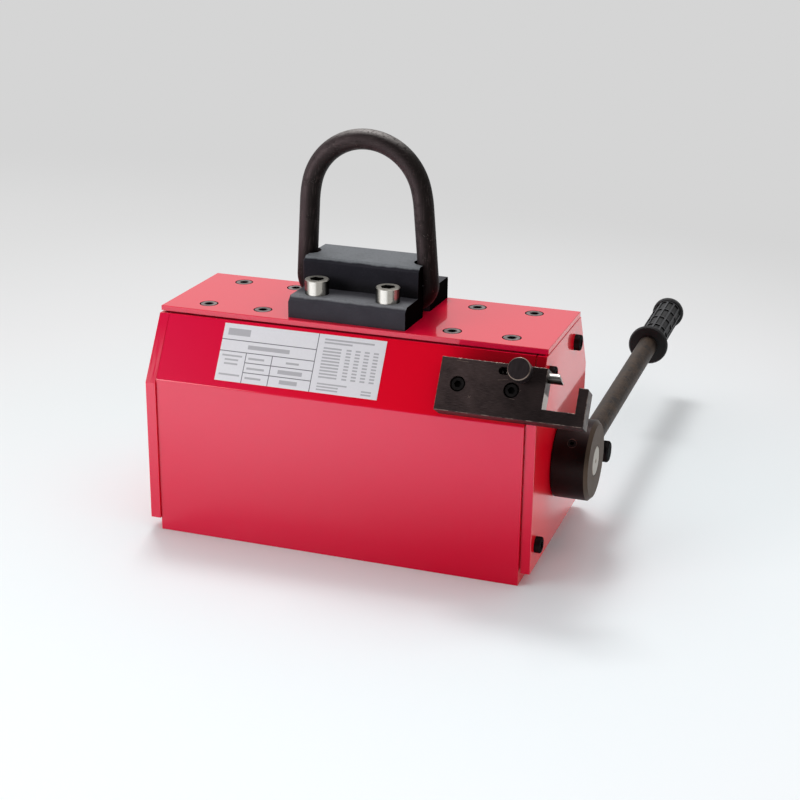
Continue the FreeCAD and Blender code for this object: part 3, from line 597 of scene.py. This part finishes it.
material, place, facing = start_finish("black_oxide", "blackened_screw_steel")
stains = place.noise(160, 3)
grit = place.noise(1500, 2)
outward, _, _ = facing.split()
set_finish(
    material,
    {
        "Base Color": outward.ramp(0.6, 0.95).mix(stains.mix(*OXIDE), OXIDE_END),
        "Metallic": 0.92,
        "Specular Tint": grey(0.4),
        "Roughness": 0.40 + stains * 0.16,
        "Normal": grit.bump(0.00001),
    },
)

# %% [markdown]
# ## Grey screws
# The top plate's screws are grey phosphate. Their sockets and the gaps round their heads are painted dark,
# as painted shade, and both are round, so they are found by distance from each screw's axis.

# %% Grey phosphate
HEAD_RIM = (0.0092, 0.0090)
HEAD_SOCKET = (0.0048, 0.0045)
PHOSPHATE = (srgb(112, 102, 101), srgb(150, 138, 137))
SOCKET_SHADE = srgb(8, 6, 7)

material, place, _ = start_finish("dark_screw", "phosphated_screw_steel")
stains = place.noise(240, 3)
grit = place.noise(1800, 2)
from_axis = from_top_screws(place)
# Painted shade in the sockets and round the heads.
sunk = (under_top(place) * from_axis.ramp(*HEAD_RIM)).most(from_axis.ramp(*HEAD_SOCKET))
set_finish(
    material,
    {
        "Base Color": sunk.mix(stains.ramp(0.3, 0.7).mix(*PHOSPHATE), SOCKET_SHADE),
        "Metallic": 0.8,
        "Roughness": 0.36 + stains * 0.16,
        "Normal": grit.bump(0.00001),
    },
)

# %% [markdown]
# ## The lever's rod
# The rod is drawn bar that has dulled to a grey brown, with long faint draw lines, specks of rust and
# blotches from hands. Stretching noise along the rod makes the lines; round noise makes the rest. Its
# left side is painted lighter than its right, a painted lighter side.

# %% Drawn rod
ROD_BROWN = (srgb(38, 32, 31), srgb(74, 59, 48))
ROD_RUST = srgb(92, 76, 64)
ROD_LINE = srgb(78, 68, 60)
ROD_LIT_SIDE = srgb(94, 86, 80)

material, place, facing = start_finish("rod_steel", "dull_drawn_bar")
lines = place.along(900, 7, 900).noise(1, 3)
blotches = place.noise(45, 5, 0.65)
rust = place.noise(260, 5, 0.65)
pits = place.noise(700, 2)
rightward, _, _ = facing.split()
colour = blotches.ramp(0.35, 0.65).mix(*ROD_BROWN)
colour = (rust.ramp(0.45, 0.65) * 0.5).mix(colour, ROD_RUST)
colour = (lines.ramp(0.45, 0.75) * 0.5).mix(colour, ROD_LINE)
# Painted lighter on the left-facing side.
colour = (rightward.ramp(0.4, -0.8) * 0.6).mix(colour, ROD_LIT_SIDE)
set_finish(
    material,
    {
        "Base Color": colour,
        "Metallic": 0.85,
        "Roughness": 0.42 + blotches * 0.2,
        "Normal": (lines + pits * 0.6).bump(0.00002),
    },
)

# %% [markdown]
# ## The grip's pattern
# The grip is moulded with rows of sunk cells between ribs. CAD gives it their shape; the shade that gathers
# in their corners is drawn here. The rows repeat along the lever and the ribs around it, so the remainder
# of a division, which a Math node set to Fraction gives, tells where in its cell a point lies.

# %% Grip pattern
LEVER_TURN = math.radians(1)
BARREL = (0.3668, 0.4908)
CELL_FLOOR = 0.0148
CELL_RIM = 0.0162
CELL_SKIN = 0.0001
FIRST_ROW = 0.3687
ROW_PITCH = 0.030575
ROW_LENGTH = 0.028375
CREASE = 0.0022
RIB_TURN = math.radians(30)
RIB_HALF = 0.0011

material, place, facing = start_finish("grip_rubber", "moulded_rubber")
aside, out, rise = on_lever(place, LEVER_TURN)
from_middle = apart(aside, rise)
barrel = between(out, *BARREL)
floors = barrel * from_middle.ramp(CELL_FLOOR + CELL_SKIN * 2, CELL_FLOOR + CELL_SKIN)
walls = barrel * between(from_middle, CELL_FLOOR + CELL_SKIN * 2, CELL_RIM - CELL_SKIN)
ribs = barrel * from_middle.ramp(CELL_RIM - CELL_SKIN, CELL_RIM)
in_row = out.math("FRACT", (out - FIRST_ROW) / ROW_PITCH) * ROW_PITCH
row_starts = in_row.ramp(CREASE * 1.5, CREASE * 0.5)
row_ends = in_row.ramp(ROW_LENGTH - CREASE * 1.5, ROW_LENGTH - CREASE)
turn = aside.math("ARCTAN2", aside, rise) / RIB_TURN
from_rib = abs(turn.math("FRACT", turn + 0.5) - 0.5) * RIB_TURN * CELL_FLOOR
rib_sides = from_rib.ramp(RIB_HALF + CREASE * 0.7, RIB_HALF + CREASE * 0.2)
creases = floors * row_starts.most(row_ends).most(rib_sides)
print("grip pattern drawn with", len(material.node_tree.nodes), "nodes")

# %% [markdown]
# ## The grip's rubber
# Rubber is matte, with a fine pebble and a little grey dust. The ribs are painted lighter, as painted light,
# and the cell floors, the creases, the cell walls and the guard's front are painted dark, as painted shade.
# Its left side is painted greyer than its right one, a painted lighter side.

# %% Rubber grip
RUBBER = (srgb(20, 20, 21), srgb(60, 60, 63))
RUBBER_DUST = srgb(64, 64, 66)
RUBBER_RIB_LIT = srgb(92, 92, 96)
RUBBER_CREASE_SHADE = srgb(6, 6, 7)
RUBBER_SHADE = srgb(4, 3, 3)

pebble = place.noise(1700, 2)
dust = place.noise(120, 4)
rightward, forward, _ = facing.split()
guard = forward.ramp(-0.8, -0.95)
# The left side is painted greyer: a painted lighter side.
colour = rightward.ramp(0.6, -0.9).mix(*RUBBER)
colour = (dust.ramp(0.4, 0.7) * 0.4).mix(colour, RUBBER_DUST)
colour = (floors * 0.2 + creases * 0.7).mix(colour, RUBBER_CREASE_SHADE)
colour = (ribs * 0.35).mix(colour, RUBBER_RIB_LIT)
set_finish(
    material,
    {
        "Base Color": walls.most(guard * 0.9).mix(colour, RUBBER_SHADE),
        "Specular IOR Level": 0.35,
        "Roughness": 0.50 + dust * 0.2,
        "Normal": pebble.bump(0.00004),
    },
)

# %% [markdown]
# ## On the slope
# The lock and the type plate lie on the front slope, so their marks are easiest to place in the slope's own
# coordinates: along the housing, up the slope and out of it. A Mapping node works those out from the
# slope's foot and its angle. Turned the same way, a surface's direction tells a flat face from a chamfer.

# %% Slope coordinates
KNEE = (0.0, -0.1025, 0.159)
SLOPE_RISE = 0.064
SLOPE_RUN = 0.038
SLOPE_TURN = (math.atan2(SLOPE_RISE, SLOPE_RUN), 0.0, 0.0)


def on_slope(place):
    """Along the housing, up the front slope and out of it."""
    return place.turned_to(KNEE, SLOPE_TURN)


def slope_facing(facing):
    """Which way a surface faces, in the slope's directions."""
    return facing.turned_to((0, 0, 0), SLOPE_TURN).split()


print("slope in degrees:", round(math.degrees(SLOPE_TURN[0]), 1))

# %% [markdown]
# ## The lock plate's wear
# The plate is milled and browned, then worn: its chamfers are bright where the colour has rubbed off, the
# notch's wall is bare where the rod slides in, and a few scratches lie where the knob is pulled. A scratch
# is a straight mark between two points of the slope, so a short list places them all.

# %% Lock plate wear
NOTCH_LEFT = 0.2029
NOTCH_BLUR = 0.0005
BELOW_BOLT = (0.031, 0.029)
SCRATCH_HALF = 0.00022
SCRATCHES = [
    ((0.1588, 0.0368), (0.1682, 0.0384)),
    ((0.1335, 0.0168), (0.1366, 0.0192)),
    ((0.1338, 0.0194), (0.1362, 0.0170)),
    ((0.1790, 0.0282), (0.1815, 0.0300)),
    ((0.1720, 0.0212), (0.1770, 0.0208)),
    ((0.1180, 0.0505), (0.1290, 0.0500)),
]


def streak(along, up, start, end):
    """A thin straight mark from one point of the slope to another."""
    tilt = (end[1] - start[1]) / (end[0] - start[0])
    off = abs(up - start[1] - (along - start[0]) * tilt)
    return off.ramp(SCRATCH_HALF * 1.5, SCRATCH_HALF * 0.5) * between(along, start[0], end[0])


material, place, facing = start_finish("browned_steel", "browned_milled_steel")
laid = on_slope(place)
along, up, _ = laid.split()
side, _, flat = slope_facing(facing)
chamfer = flat.ramp(0.3, 0.5) * flat.ramp(0.95, 0.8)
rubbed = chamfer * place.noise(260, 3).ramp(0.42, 0.66)
sides = abs(side).ramp(0.9, 0.98) * place.noise(150, 3).ramp(0.3, 0.6)
bared = side.ramp(0.9, 0.98) * between(along, NOTCH_LEFT - NOTCH_BLUR, NOTCH_LEFT + NOTCH_BLUR)
bared = bared * up.ramp(*BELOW_BOLT)
scratches = reduce(Wire.most, [streak(along, up, *ends) for ends in SCRATCHES])
worn = rubbed.most(sides * 0.35).most(bared).most(scratches * flat.ramp(0.9, 0.98) * 0.8)
print("scratches:", len(SCRATCHES), "wear drawn with", len(material.node_tree.nodes), "nodes")

# %% [markdown]
# ## The lock plate's brown
# Under the wear the plate has fine milling lines along its length, stains, and a darker end towards the
# lever. The lines are noise stretched along the slope's own axes. They lighten the brown as well as tilting
# the surface, as if the oxide were thinner on their crests.

# %% Lock plate
BROWN = (srgb(46, 35, 35), srgb(68, 54, 53))
BROWN_CREST = srgb(104, 89, 88)
BROWN_PATCH = srgb(92, 80, 79)
BROWN_END = srgb(24, 17, 18)
DARK_END = (0.13, 0.19)
WORN_STEEL = (srgb(104, 86, 78), srgb(164, 147, 138))
BARE_STEEL = (srgb(146, 137, 131), srgb(220, 209, 201))

milling = laid.along(150, 3400, 400).noise(1, 4, 0.65)
stains = place.noise(55, 4)
patches = laid.along(60, 200, 60).noise(1, 3)
brown = stains.ramp(0.3, 0.7).mix(*BROWN)
brown = (milling.ramp(0.4, 0.7) * 0.55).mix(brown, BROWN_CREST)
brown = (patches.ramp(0.6, 0.8) * 0.2).mix(brown, BROWN_PATCH)
brown = (along.ramp(*DARK_END) * 0.55).mix(brown, BROWN_END)
colour = worn.mix(brown, milling.mix(*WORN_STEEL))
set_finish(
    material,
    {
        "Base Color": bared.mix(colour, milling.mix(*BARE_STEEL)),
        "Metallic": 0.75 + worn * 0.2,
        "Roughness": 0.40 + stains * 0.14 - worn * 0.1,
        "Normal": milling.bump(0.00003),
    },
)

# %% [markdown]
# ## The knob
# The knob's face is blackened with one bright line round it, on its turned chamfer.
# The line needs no drawing: only the chamfer leans between the face and the side, so direction finds it.

# %% Knob
KNOB_BLACK = (srgb(34, 27, 29), srgb(64, 55, 57))
KNOB_RIM = srgb(132, 117, 108)

material, place, facing = start_finish("knob_black", "blackened_knob")
_, _, flat = slope_facing(facing)
rim = flat.ramp(0.3, 0.5) * flat.ramp(0.97, 0.85)
smears = on_slope(place).along(500, 120, 300).noise(1, 4)
set_finish(
    material,
    {
        "Base Color": rim.mix(smears.mix(*KNOB_BLACK), KNOB_RIM),
        "Metallic": 0.6 + rim * 0.4,
        "Roughness": 0.34 + smears * 0.14 - rim * 0.12,
        "Normal": smears.bump(0.00001),
    },
)

# %% [markdown]
# ## The bolt
# The bolt is polished so that it slides, with faint lines round it from the lathe. It is set dark underneath,
# where a bright bar over a dark plate mirrors the plate.

# %% Bolt
BOLT_STEEL = (srgb(186, 183, 180), srgb(214, 212, 208))
BOLT_UNDER = srgb(46, 42, 39)

material, place, facing = start_finish("bright_steel", "polished_bolt_steel")
lines = place.along(1800, 60, 60).noise(1, 3)
_, _, upward = facing.split()
set_finish(
    material,
    {
        "Base Color": upward.ramp(0.45, 0.0).mix(lines.mix(*BOLT_STEEL), BOLT_UNDER),
        "Metallic": 1.0,
        "Roughness": 0.26 + lines * 0.1,
        "Normal": lines.bump(0.000006),
    },
)

# %% [markdown]
# ## The saddle's shade
# The saddle is a block with a lower flange in front and behind. Its level faces and their upper edges are
# lighter, partly dust and partly a painted sheen, and on the flange this fades from its front edge to the
# back, where the block's painted shadow lies. The foot of the block and its right side are painted dark, as
# painted shade. Masks by place and direction find all this, and noise makes the lighter edges uneven.

# %% Saddle shade
BLOCK_START = (0.246, 0.262)
BLOCK_FOOT = (0.262, 0.248)
FOOT_START = (0.2452, 0.2456)
BLOCK_EDGE = (0.2722, 0.2740)
FLANGE_EDGE = (0.2422, 0.2440)
FLANGE_SHADOW = (-0.050, -0.034)
EDGE_WANDER = 0.002

material, place, facing = start_finish("charcoal_steel", "charcoal_phosphate")
_, depth, height = place.split()
rightward, _, upward = facing.split()
dents = place.noise(110, 3)
block = height.ramp(*BLOCK_START)
# Where the block's painted shadow lies on the flange.
block_shadow = (1 - block) * depth.ramp(*FLANGE_SHADOW)
edge_height = height + (dents - 0.5) * EDGE_WANDER
edges = block * edge_height.ramp(*BLOCK_EDGE) + (1 - block) * edge_height.ramp(*FLANGE_EDGE)
edges = edges * upward.ramp(0.5, 0.65)
# Lighter on the level faces and upper edges: partly dust, partly painted sheen.
dust_and_sheen = upward.ramp(0.9, 0.99).most(edges)
# Painted shade on the right side and at the block's foot.
shaded = rightward.ramp(0.5, 0.9)
foot_shade = height.ramp(*BLOCK_FOOT) * height.ramp(*FOOT_START) * 0.75
print("saddle shaded with", len(material.node_tree.nodes), "nodes")

# %% [markdown]
# ## The saddle's coat
# The coat is phosphate: matte charcoal with a fine grain, set darker on the block than on the flange as
# painted shade. It is a dull surface, so its reflection is turned down, and two bumps lie over each other,
# broad dents below and the grain on top.

# %% Saddle coat
FLANGE_COAT = (srgb(54, 52, 58), srgb(66, 64, 71))
BLOCK_COAT_SHADED = (srgb(30, 29, 36), srgb(42, 41, 48))
FLANGE_DUST_AND_SHEEN = (srgb(114, 115, 119), srgb(134, 135, 139))
BLOCK_DUST_AND_SHEEN = (srgb(116, 119, 123), srgb(130, 133, 137))
COAT_SHADE = srgb(3, 2, 2)
COAT_GRAIN = srgb(92, 92, 97)
COAT_SPECK = srgb(60, 61, 64)

grain = place.noise(1100, 3, 0.6)
clouds = place.noise(45, 4)
coat = block.mix(clouds.mix(*FLANGE_COAT), clouds.mix(*BLOCK_COAT_SHADED))
# The lighter colour of the level faces: partly dust, partly painted sheen.
dust = block.mix(clouds.mix(*FLANGE_DUST_AND_SHEEN), clouds.mix(*BLOCK_DUST_AND_SHEEN))
coat = shaded.most(foot_shade).mix(coat, COAT_SHADE)
coat = (dust_and_sheen * (1 - block_shadow * 0.8)).mix(coat, dust)
speckle = place.noise(700, 2).ramp(0.5, 0.7) * (1 - shaded)
coat = (grain.ramp(0.56, 0.8) * 0.35 * (1 - shaded)).mix(coat, COAT_GRAIN)
coat = (speckle * dust_and_sheen * 0.3).mix(coat, COAT_SPECK)
set_finish(
    material,
    {
        "Base Color": coat,
        "Metallic": shaded * 0.9,
        "Specular IOR Level": 0.3,
        "Specular Tint": grey(0.3),
        "Roughness": 0.68 + grain * 0.14,
        "Normal": grain.bump(0.00005, dents.bump(0.0004)),
    },
)

# %% [markdown]
# ## The saddle's screws
# The cap screws are nickel plated. A bright round head mirrors a lamp in a narrow line and the dark room at
# its sides. The studio here has no such small lamp, so the line in front and the dark sides are painted in by
# direction, as a painted highlight and a painted reflection. Each socket is painted dark, as painted shade.
# The saddle is turned a little on the housing, so place and direction are turned with it.

# %% Nickel screws
LUG_MIDDLE = (-0.003, 0.002, 0.0)
LUG_TURN = (0.0, 0.0, math.radians(-1.5))
LUG_SCREW_X = 0.0365
LUG_SCREW_Y = 0.043
LUG_SOCKET = (0.0076, 0.0075)
LUG_SCREW_TOP = 0.2595
SOCKET_TOP = (LUG_SCREW_TOP - 0.0003, LUG_SCREW_TOP - 0.0006)
NICKEL = (srgb(168, 164, 156), srgb(180, 176, 168))
NICKEL_LIT = srgb(253, 250, 244)
NICKEL_SIDE = srgb(40, 37, 34)
NICKEL_SOCKET_SHADE = srgb(16, 13, 11)

material, place, facing = start_finish("bright_nickel", "bright_nickel_plate")
across, depth, height = place.turned_to(LUG_MIDDLE, LUG_TURN).split()
from_axis = apart(abs(across) - LUG_SCREW_X, abs(depth) - LUG_SCREW_Y)
# Painted shade in the sockets.
socket = from_axis.ramp(*LUG_SOCKET) * height.ramp(*SOCKET_TOP)
rightward, forward, upward = facing.turned_to((0, 0, 0), LUG_TURN).split()
turned_away = rightward.ramp(-0.3, -0.8).most(rightward.ramp(0.86, 0.97))
haze = place.noise(300, 3)
colour = forward.ramp(-0.92, -0.995).mix(haze.mix(*NICKEL), NICKEL_LIT)
colour = turned_away.mix(colour, NICKEL_SIDE)
set_finish(
    material,
    {
        "Base Color": socket.mix(colour, NICKEL_SOCKET_SHADE),
        "Metallic": 0.85 - socket * 0.85,
        "Roughness": 0.17 + haze * 0.05 + upward.ramp(0.5, 0.9) * 0.2,
    },
)

# %% [markdown]
# ## The ring
# The ring is bent hot from round bar, so it wears brown-black forge scale with streaks along the bar. Its
# left side is painted lighter than its right, a painted lighter side, the top of its crown is grey, partly
# scraped and partly a painted highlight, and its feet are painted darker, as painted shade. The bar turns
# from upright to level, so two stretched noises are made, one for the legs and one for the crown, and mixed
# by height.

# %% Forged ring
RING_TOP = 0.399
RING_FOOT = (0.295, 0.25)
CROWN = (RING_TOP - 0.045, RING_TOP - 0.015)
CROWN_WORN_AND_LIT_HEIGHT = (RING_TOP - 0.025, RING_TOP - 0.004)
SCALE_BROWN_SHADED_AND_LIT = (srgb(26, 20, 18), srgb(72, 60, 62))
SCALE_FLAKE = srgb(24, 18, 17)
SCALE_STREAK = srgb(94, 82, 81)
SCALE_FOOT_SHADE = srgb(8, 6, 6)
SCALE_SPECK = srgb(124, 115, 113)
CROWN_GREY_WORN_AND_LIT = srgb(132, 127, 125)

material, place, facing = start_finish("forged_bar", "forge_scale")
_, _, height = place.split()
rightward, _, upward = facing.split()
scale = place.noise(420, 4, 0.6)
flakes = place.noise(70, 5, 0.6)
flaked = flakes.ramp(0.5, 0.62)
crown = height.ramp(*CROWN)
up_legs = place.along(650, 650, 55).noise(1, 4, 0.6)
over_crown = place.along(55, 650, 650).noise(1, 4, 0.6)
streaks = over_crown * crown + up_legs * (1 - crown)
specks = place.grains(620).ramp(0.2, 0.1) * flaked
worn_and_lit_crown = upward.ramp(0.5, 0.95) * height.ramp(*CROWN_WORN_AND_LIT_HEIGHT) * scale.ramp(0.3, 0.55)
# Painted lighter on the left-facing side.
colour = rightward.ramp(0.7, -0.7).mix(*SCALE_BROWN_SHADED_AND_LIT)
colour = (flaked * 0.5).mix(colour, SCALE_FLAKE)
colour = (streaks.ramp(0.5, 0.7) * 0.28).mix(colour, SCALE_STREAK)
# Painted shade at the feet.
colour = (height.ramp(*RING_FOOT) * 0.75).mix(colour, SCALE_FOOT_SHADE)
# Grey crown top: partly scraped, partly a painted highlight.
colour = worn_and_lit_crown.mix(specks.mix(colour, SCALE_SPECK), CROWN_GREY_WORN_AND_LIT)
set_finish(
    material,
    {
        "Base Color": colour,
        "Metallic": 0.75 - worn_and_lit_crown * 0.3,
        "Roughness": 0.46 + scale * 0.16,
        "Normal": (scale + flakes + streaks).bump(0.00014),
    },
)

# %% [markdown]
# ## What is inside
# The rotor, its magnets, bushes and spring are seen only when the lifter is taken apart, but they are real
# pieces and have real finishes: turned steel, plated magnets, bronze bushes and drawn wire. They differ
# only in colour, roughness and the way their tool marks run, so one loop makes them all.

# %% Inner finishes
INNER = {
    "spacer_alloy": ("ground_spacer_alloy", srgb(168, 168, 166), srgb(190, 190, 188), 0.30, (8, 1200, 1200)),
    "magnet_plating": ("plated_magnet", srgb(176, 173, 166), srgb(200, 197, 190), 0.24, (300, 300, 300)),
    "bush_bronze": ("turned_bronze", srgb(168, 118, 58), srgb(196, 146, 82), 0.30, (1800, 30, 30)),
    "turned_steel": ("turned_bare_steel", srgb(144, 136, 124), srgb(174, 165, 152), 0.28, (1900, 40, 40)),
    "spring_steel": ("spring_wire", srgb(120, 118, 114), srgb(160, 157, 152), 0.30, (500, 500, 500)),
}
for slot, (title, dark, light, roughness, marks) in INNER.items():
    material, place, _ = start_finish(slot, title)
    tool_marks = place.along(*marks).noise(1, 3)
    stains = place.noise(60, 3)
    set_finish(
        material,
        {
            "Base Color": (tool_marks * 0.6 + stains * 0.4).mix(dark, light),
            "Metallic": 1.0,
            "Roughness": roughness + stains * 0.12,
            "Normal": tool_marks.bump(0.00001),
        },
    )

# %% [markdown]
# ## Putting the finishes on
# Every solid's slot is swapped for its finish by name. The hub alone differs: it shares its slot with the
# screws, but its rings belong to the lathe, so it has a finish of its own.

# %% Assign the finishes
for name, node in nodes.items():
    for slot in node.material_slots:
        slot.material = finishes["hub" if name == "lever_hub" else slot.material.name]
print("nodes finished:", len(nodes))

# %% [markdown]
# ## The lock's spring
# A coil of drawn wire behind the bolt pushes it out, and pulling the knob presses the coil together. The
# CAD coil is rigid, and a copy of it with its doubled points merged stands in its place on the housing. Its
# left end is seated in the lock plate's bore.

# %% Lock spring
SAME_POINT = 0.0000001

coil = bmesh.new()
coil.from_mesh(nodes["latch_spring"].data)
bmesh.ops.remove_doubles(coil, verts=coil.verts, dist=SAME_POINT)
lock_spring = bpy.data.objects.new("lock_spring", bpy.data.meshes.new("lock_spring"))
coil.to_mesh(lock_spring.data)
coil.free()
lock_spring.data.materials.append(finishes["spring_steel"])
scene.collection.objects.link(lock_spring)
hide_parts("latch_spring")
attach(lock_spring, "housing")
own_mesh(lock_spring)

# %% [markdown]
# ## The type plate
# A thin white plate sits on the front slope beside the lock. It could be a flat picture on the slope, but a
# real plate has an edge that catches light, so it is one bevelled sheet, made flat in the slope's
# coordinates and turned into place.

# %% Type plate shape
PLATE_LEFT = -0.1243
PLATE_RIGHT = 0.0421
PLATE_LOW = 0.0074
PLATE_HIGH = 0.0644
PLATE_THICK = 0.0004
PLATE_EDGE = 0.0001

plate_size = Vector((PLATE_RIGHT - PLATE_LEFT, PLATE_HIGH - PLATE_LOW, PLATE_THICK))
middle = Vector(((PLATE_LEFT + PLATE_RIGHT) / 2, (PLATE_LOW + PLATE_HIGH) / 2, PLATE_THICK / 2))
onto_slope = Matrix.Translation(KNEE) @ Matrix.Rotation(SLOPE_TURN[0], 4, "X")
sheet = bmesh.new()
bmesh.ops.create_cube(sheet, size=1.0)
bmesh.ops.scale(sheet, verts=sheet.verts, vec=plate_size)
bmesh.ops.bevel(
    sheet, geom=sheet.edges[:], offset=PLATE_EDGE, affect="EDGES", segments=2, profile=0.5, material=-1
)
bmesh.ops.translate(sheet, verts=sheet.verts, vec=middle)
bmesh.ops.transform(sheet, verts=sheet.verts, matrix=onto_slope)
type_plate = bpy.data.objects.new("type_plate", bpy.data.meshes.new("type_plate"))
sheet.to_mesh(type_plate.data)
sheet.free()
scene.collection.objects.link(type_plate)
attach(type_plate, "housing")
print("type plate in mm:", [round(v * 1000, 1) for v in plate_size])

# %% [markdown]
# ## The type plate's rules
# The plate is ruled into fields: one main rule from top to bottom, two rules across the part left of it,
# and small cells below them. A rule is a narrow band of one coordinate, kept to its field by a mask. All are
# placed as shares of the plate's width and height, so they follow if the plate is made larger.

# %% Type plate rules
RULE_HALF = 0.0004
MAIN_RULE = 0.59
CELL_RULES = (0.1675, 0.331)
FIELD_ROWS = (0.28, 0.48)
CELL_ROWS = (0.65, 0.82)


def ruled(value, middle):
    return between(value, middle - RULE_HALF, middle + RULE_HALF)


material, place, _ = start_finish("type_plate", "printed_plate")
along, up, _ = on_slope(place).split()
across = along - PLATE_LEFT
down = PLATE_HIGH - up
width, height = plate_size.x, plate_size.y
left_field = between(across, 0, MAIN_RULE * width)
cells = between(across, CELL_RULES[0] * width, MAIN_RULE * width)
lower = between(down, FIELD_ROWS[1] * height, height)
rules = [ruled(across, MAIN_RULE * width)]
rules += [ruled(down, row * height) * left_field for row in FIELD_ROWS]
rules += [ruled(down, row * height) * cells for row in CELL_ROWS]
rules += [ruled(across, column * width) * lower for column in CELL_RULES]
print("rules on the plate:", len(rules))

# %% [markdown]
# ## The type plate's bars
# Plain grey bars fill the fields, and a block of short ones makes a table at the right. A bar is a box in
# the plate's two coordinates, and the table is where one of its rows meets one of its columns.

# %% Type plate bars
BARS = [
    (0.03, 0.17, 0.08, 0.20),
    (0.17, 0.43, 0.345, 0.415),
    (0.02, 0.145, 0.54, 0.57),
    (0.04, 0.125, 0.61, 0.64),
    (0.04, 0.125, 0.68, 0.71),
    (0.02, 0.15, 0.87, 0.90),
    (0.185, 0.285, 0.555, 0.59),
    (0.185, 0.295, 0.725, 0.76),
    (0.185, 0.285, 0.89, 0.925),
    (0.42, 0.50, 0.555, 0.59),
    (0.38, 0.53, 0.70, 0.77),
    (0.40, 0.51, 0.87, 0.94),
    (0.63, 0.93, 0.07, 0.10),
    (0.63, 0.80, 0.125, 0.155),
    (0.63, 0.81, 0.83, 0.855),
    (0.63, 0.76, 0.88, 0.905),
    (0.90, 0.96, 0.88, 0.905),
    (0.63, 0.76, 0.93, 0.955),
    (0.90, 0.96, 0.93, 0.955),
]
TABLE_TOP = 0.22
TABLE_PITCH = 0.055
TABLE_BAR = 0.028
TABLE_COUNT = 10
TABLE_COLUMNS = [(0.63, 0.74), (0.77, 0.80), (0.825, 0.855), (0.88, 0.91), (0.935, 0.965)]
TABLE_ROWS = [TABLE_TOP + TABLE_PITCH * step for step in range(TABLE_COUNT)]


def columns(left, right):
    return between(across, left * width, right * width)


def rows(high, low):
    return between(down, high * height, low * height)


bars = [columns(left, right) * rows(high, low) for left, right, high, low in BARS]
table_rows = reduce(Wire.most, [rows(row, row + TABLE_BAR) for row in TABLE_ROWS])
table_columns = reduce(Wire.most, [columns(*column) for column in TABLE_COLUMNS])
bars.append(table_rows * table_columns)
print("bars on the plate:", len(BARS) + len(TABLE_ROWS) * len(TABLE_COLUMNS))

# %% [markdown]
# ## The type plate's print
# The plate is a satin white sheet, and the rules are printed darker than the bars. One mask carries both:
# full on the rules and half on the bars, it mixes the same grey into the white.

# %% Type plate print
PLATE_WHITE = (srgb(226, 224, 229), srgb(234, 232, 237))
PRINT_GREY = srgb(104, 100, 108)

printed = reduce(Wire.most, rules).most(reduce(Wire.most, bars) * 0.5)
paper = place.noise(500, 3)
set_finish(
    material,
    {
        "Base Color": printed.mix(paper.mix(*PLATE_WHITE), PRINT_GREY),
        "Roughness": 0.34 + paper * 0.08,
        "Normal": paper.bump(0.000008),
    },
)
type_plate.data.materials.append(material)

# %% [markdown]
# ## Size
# The dressed model keeps the CAD model's size: nothing here moves or scales its solids.
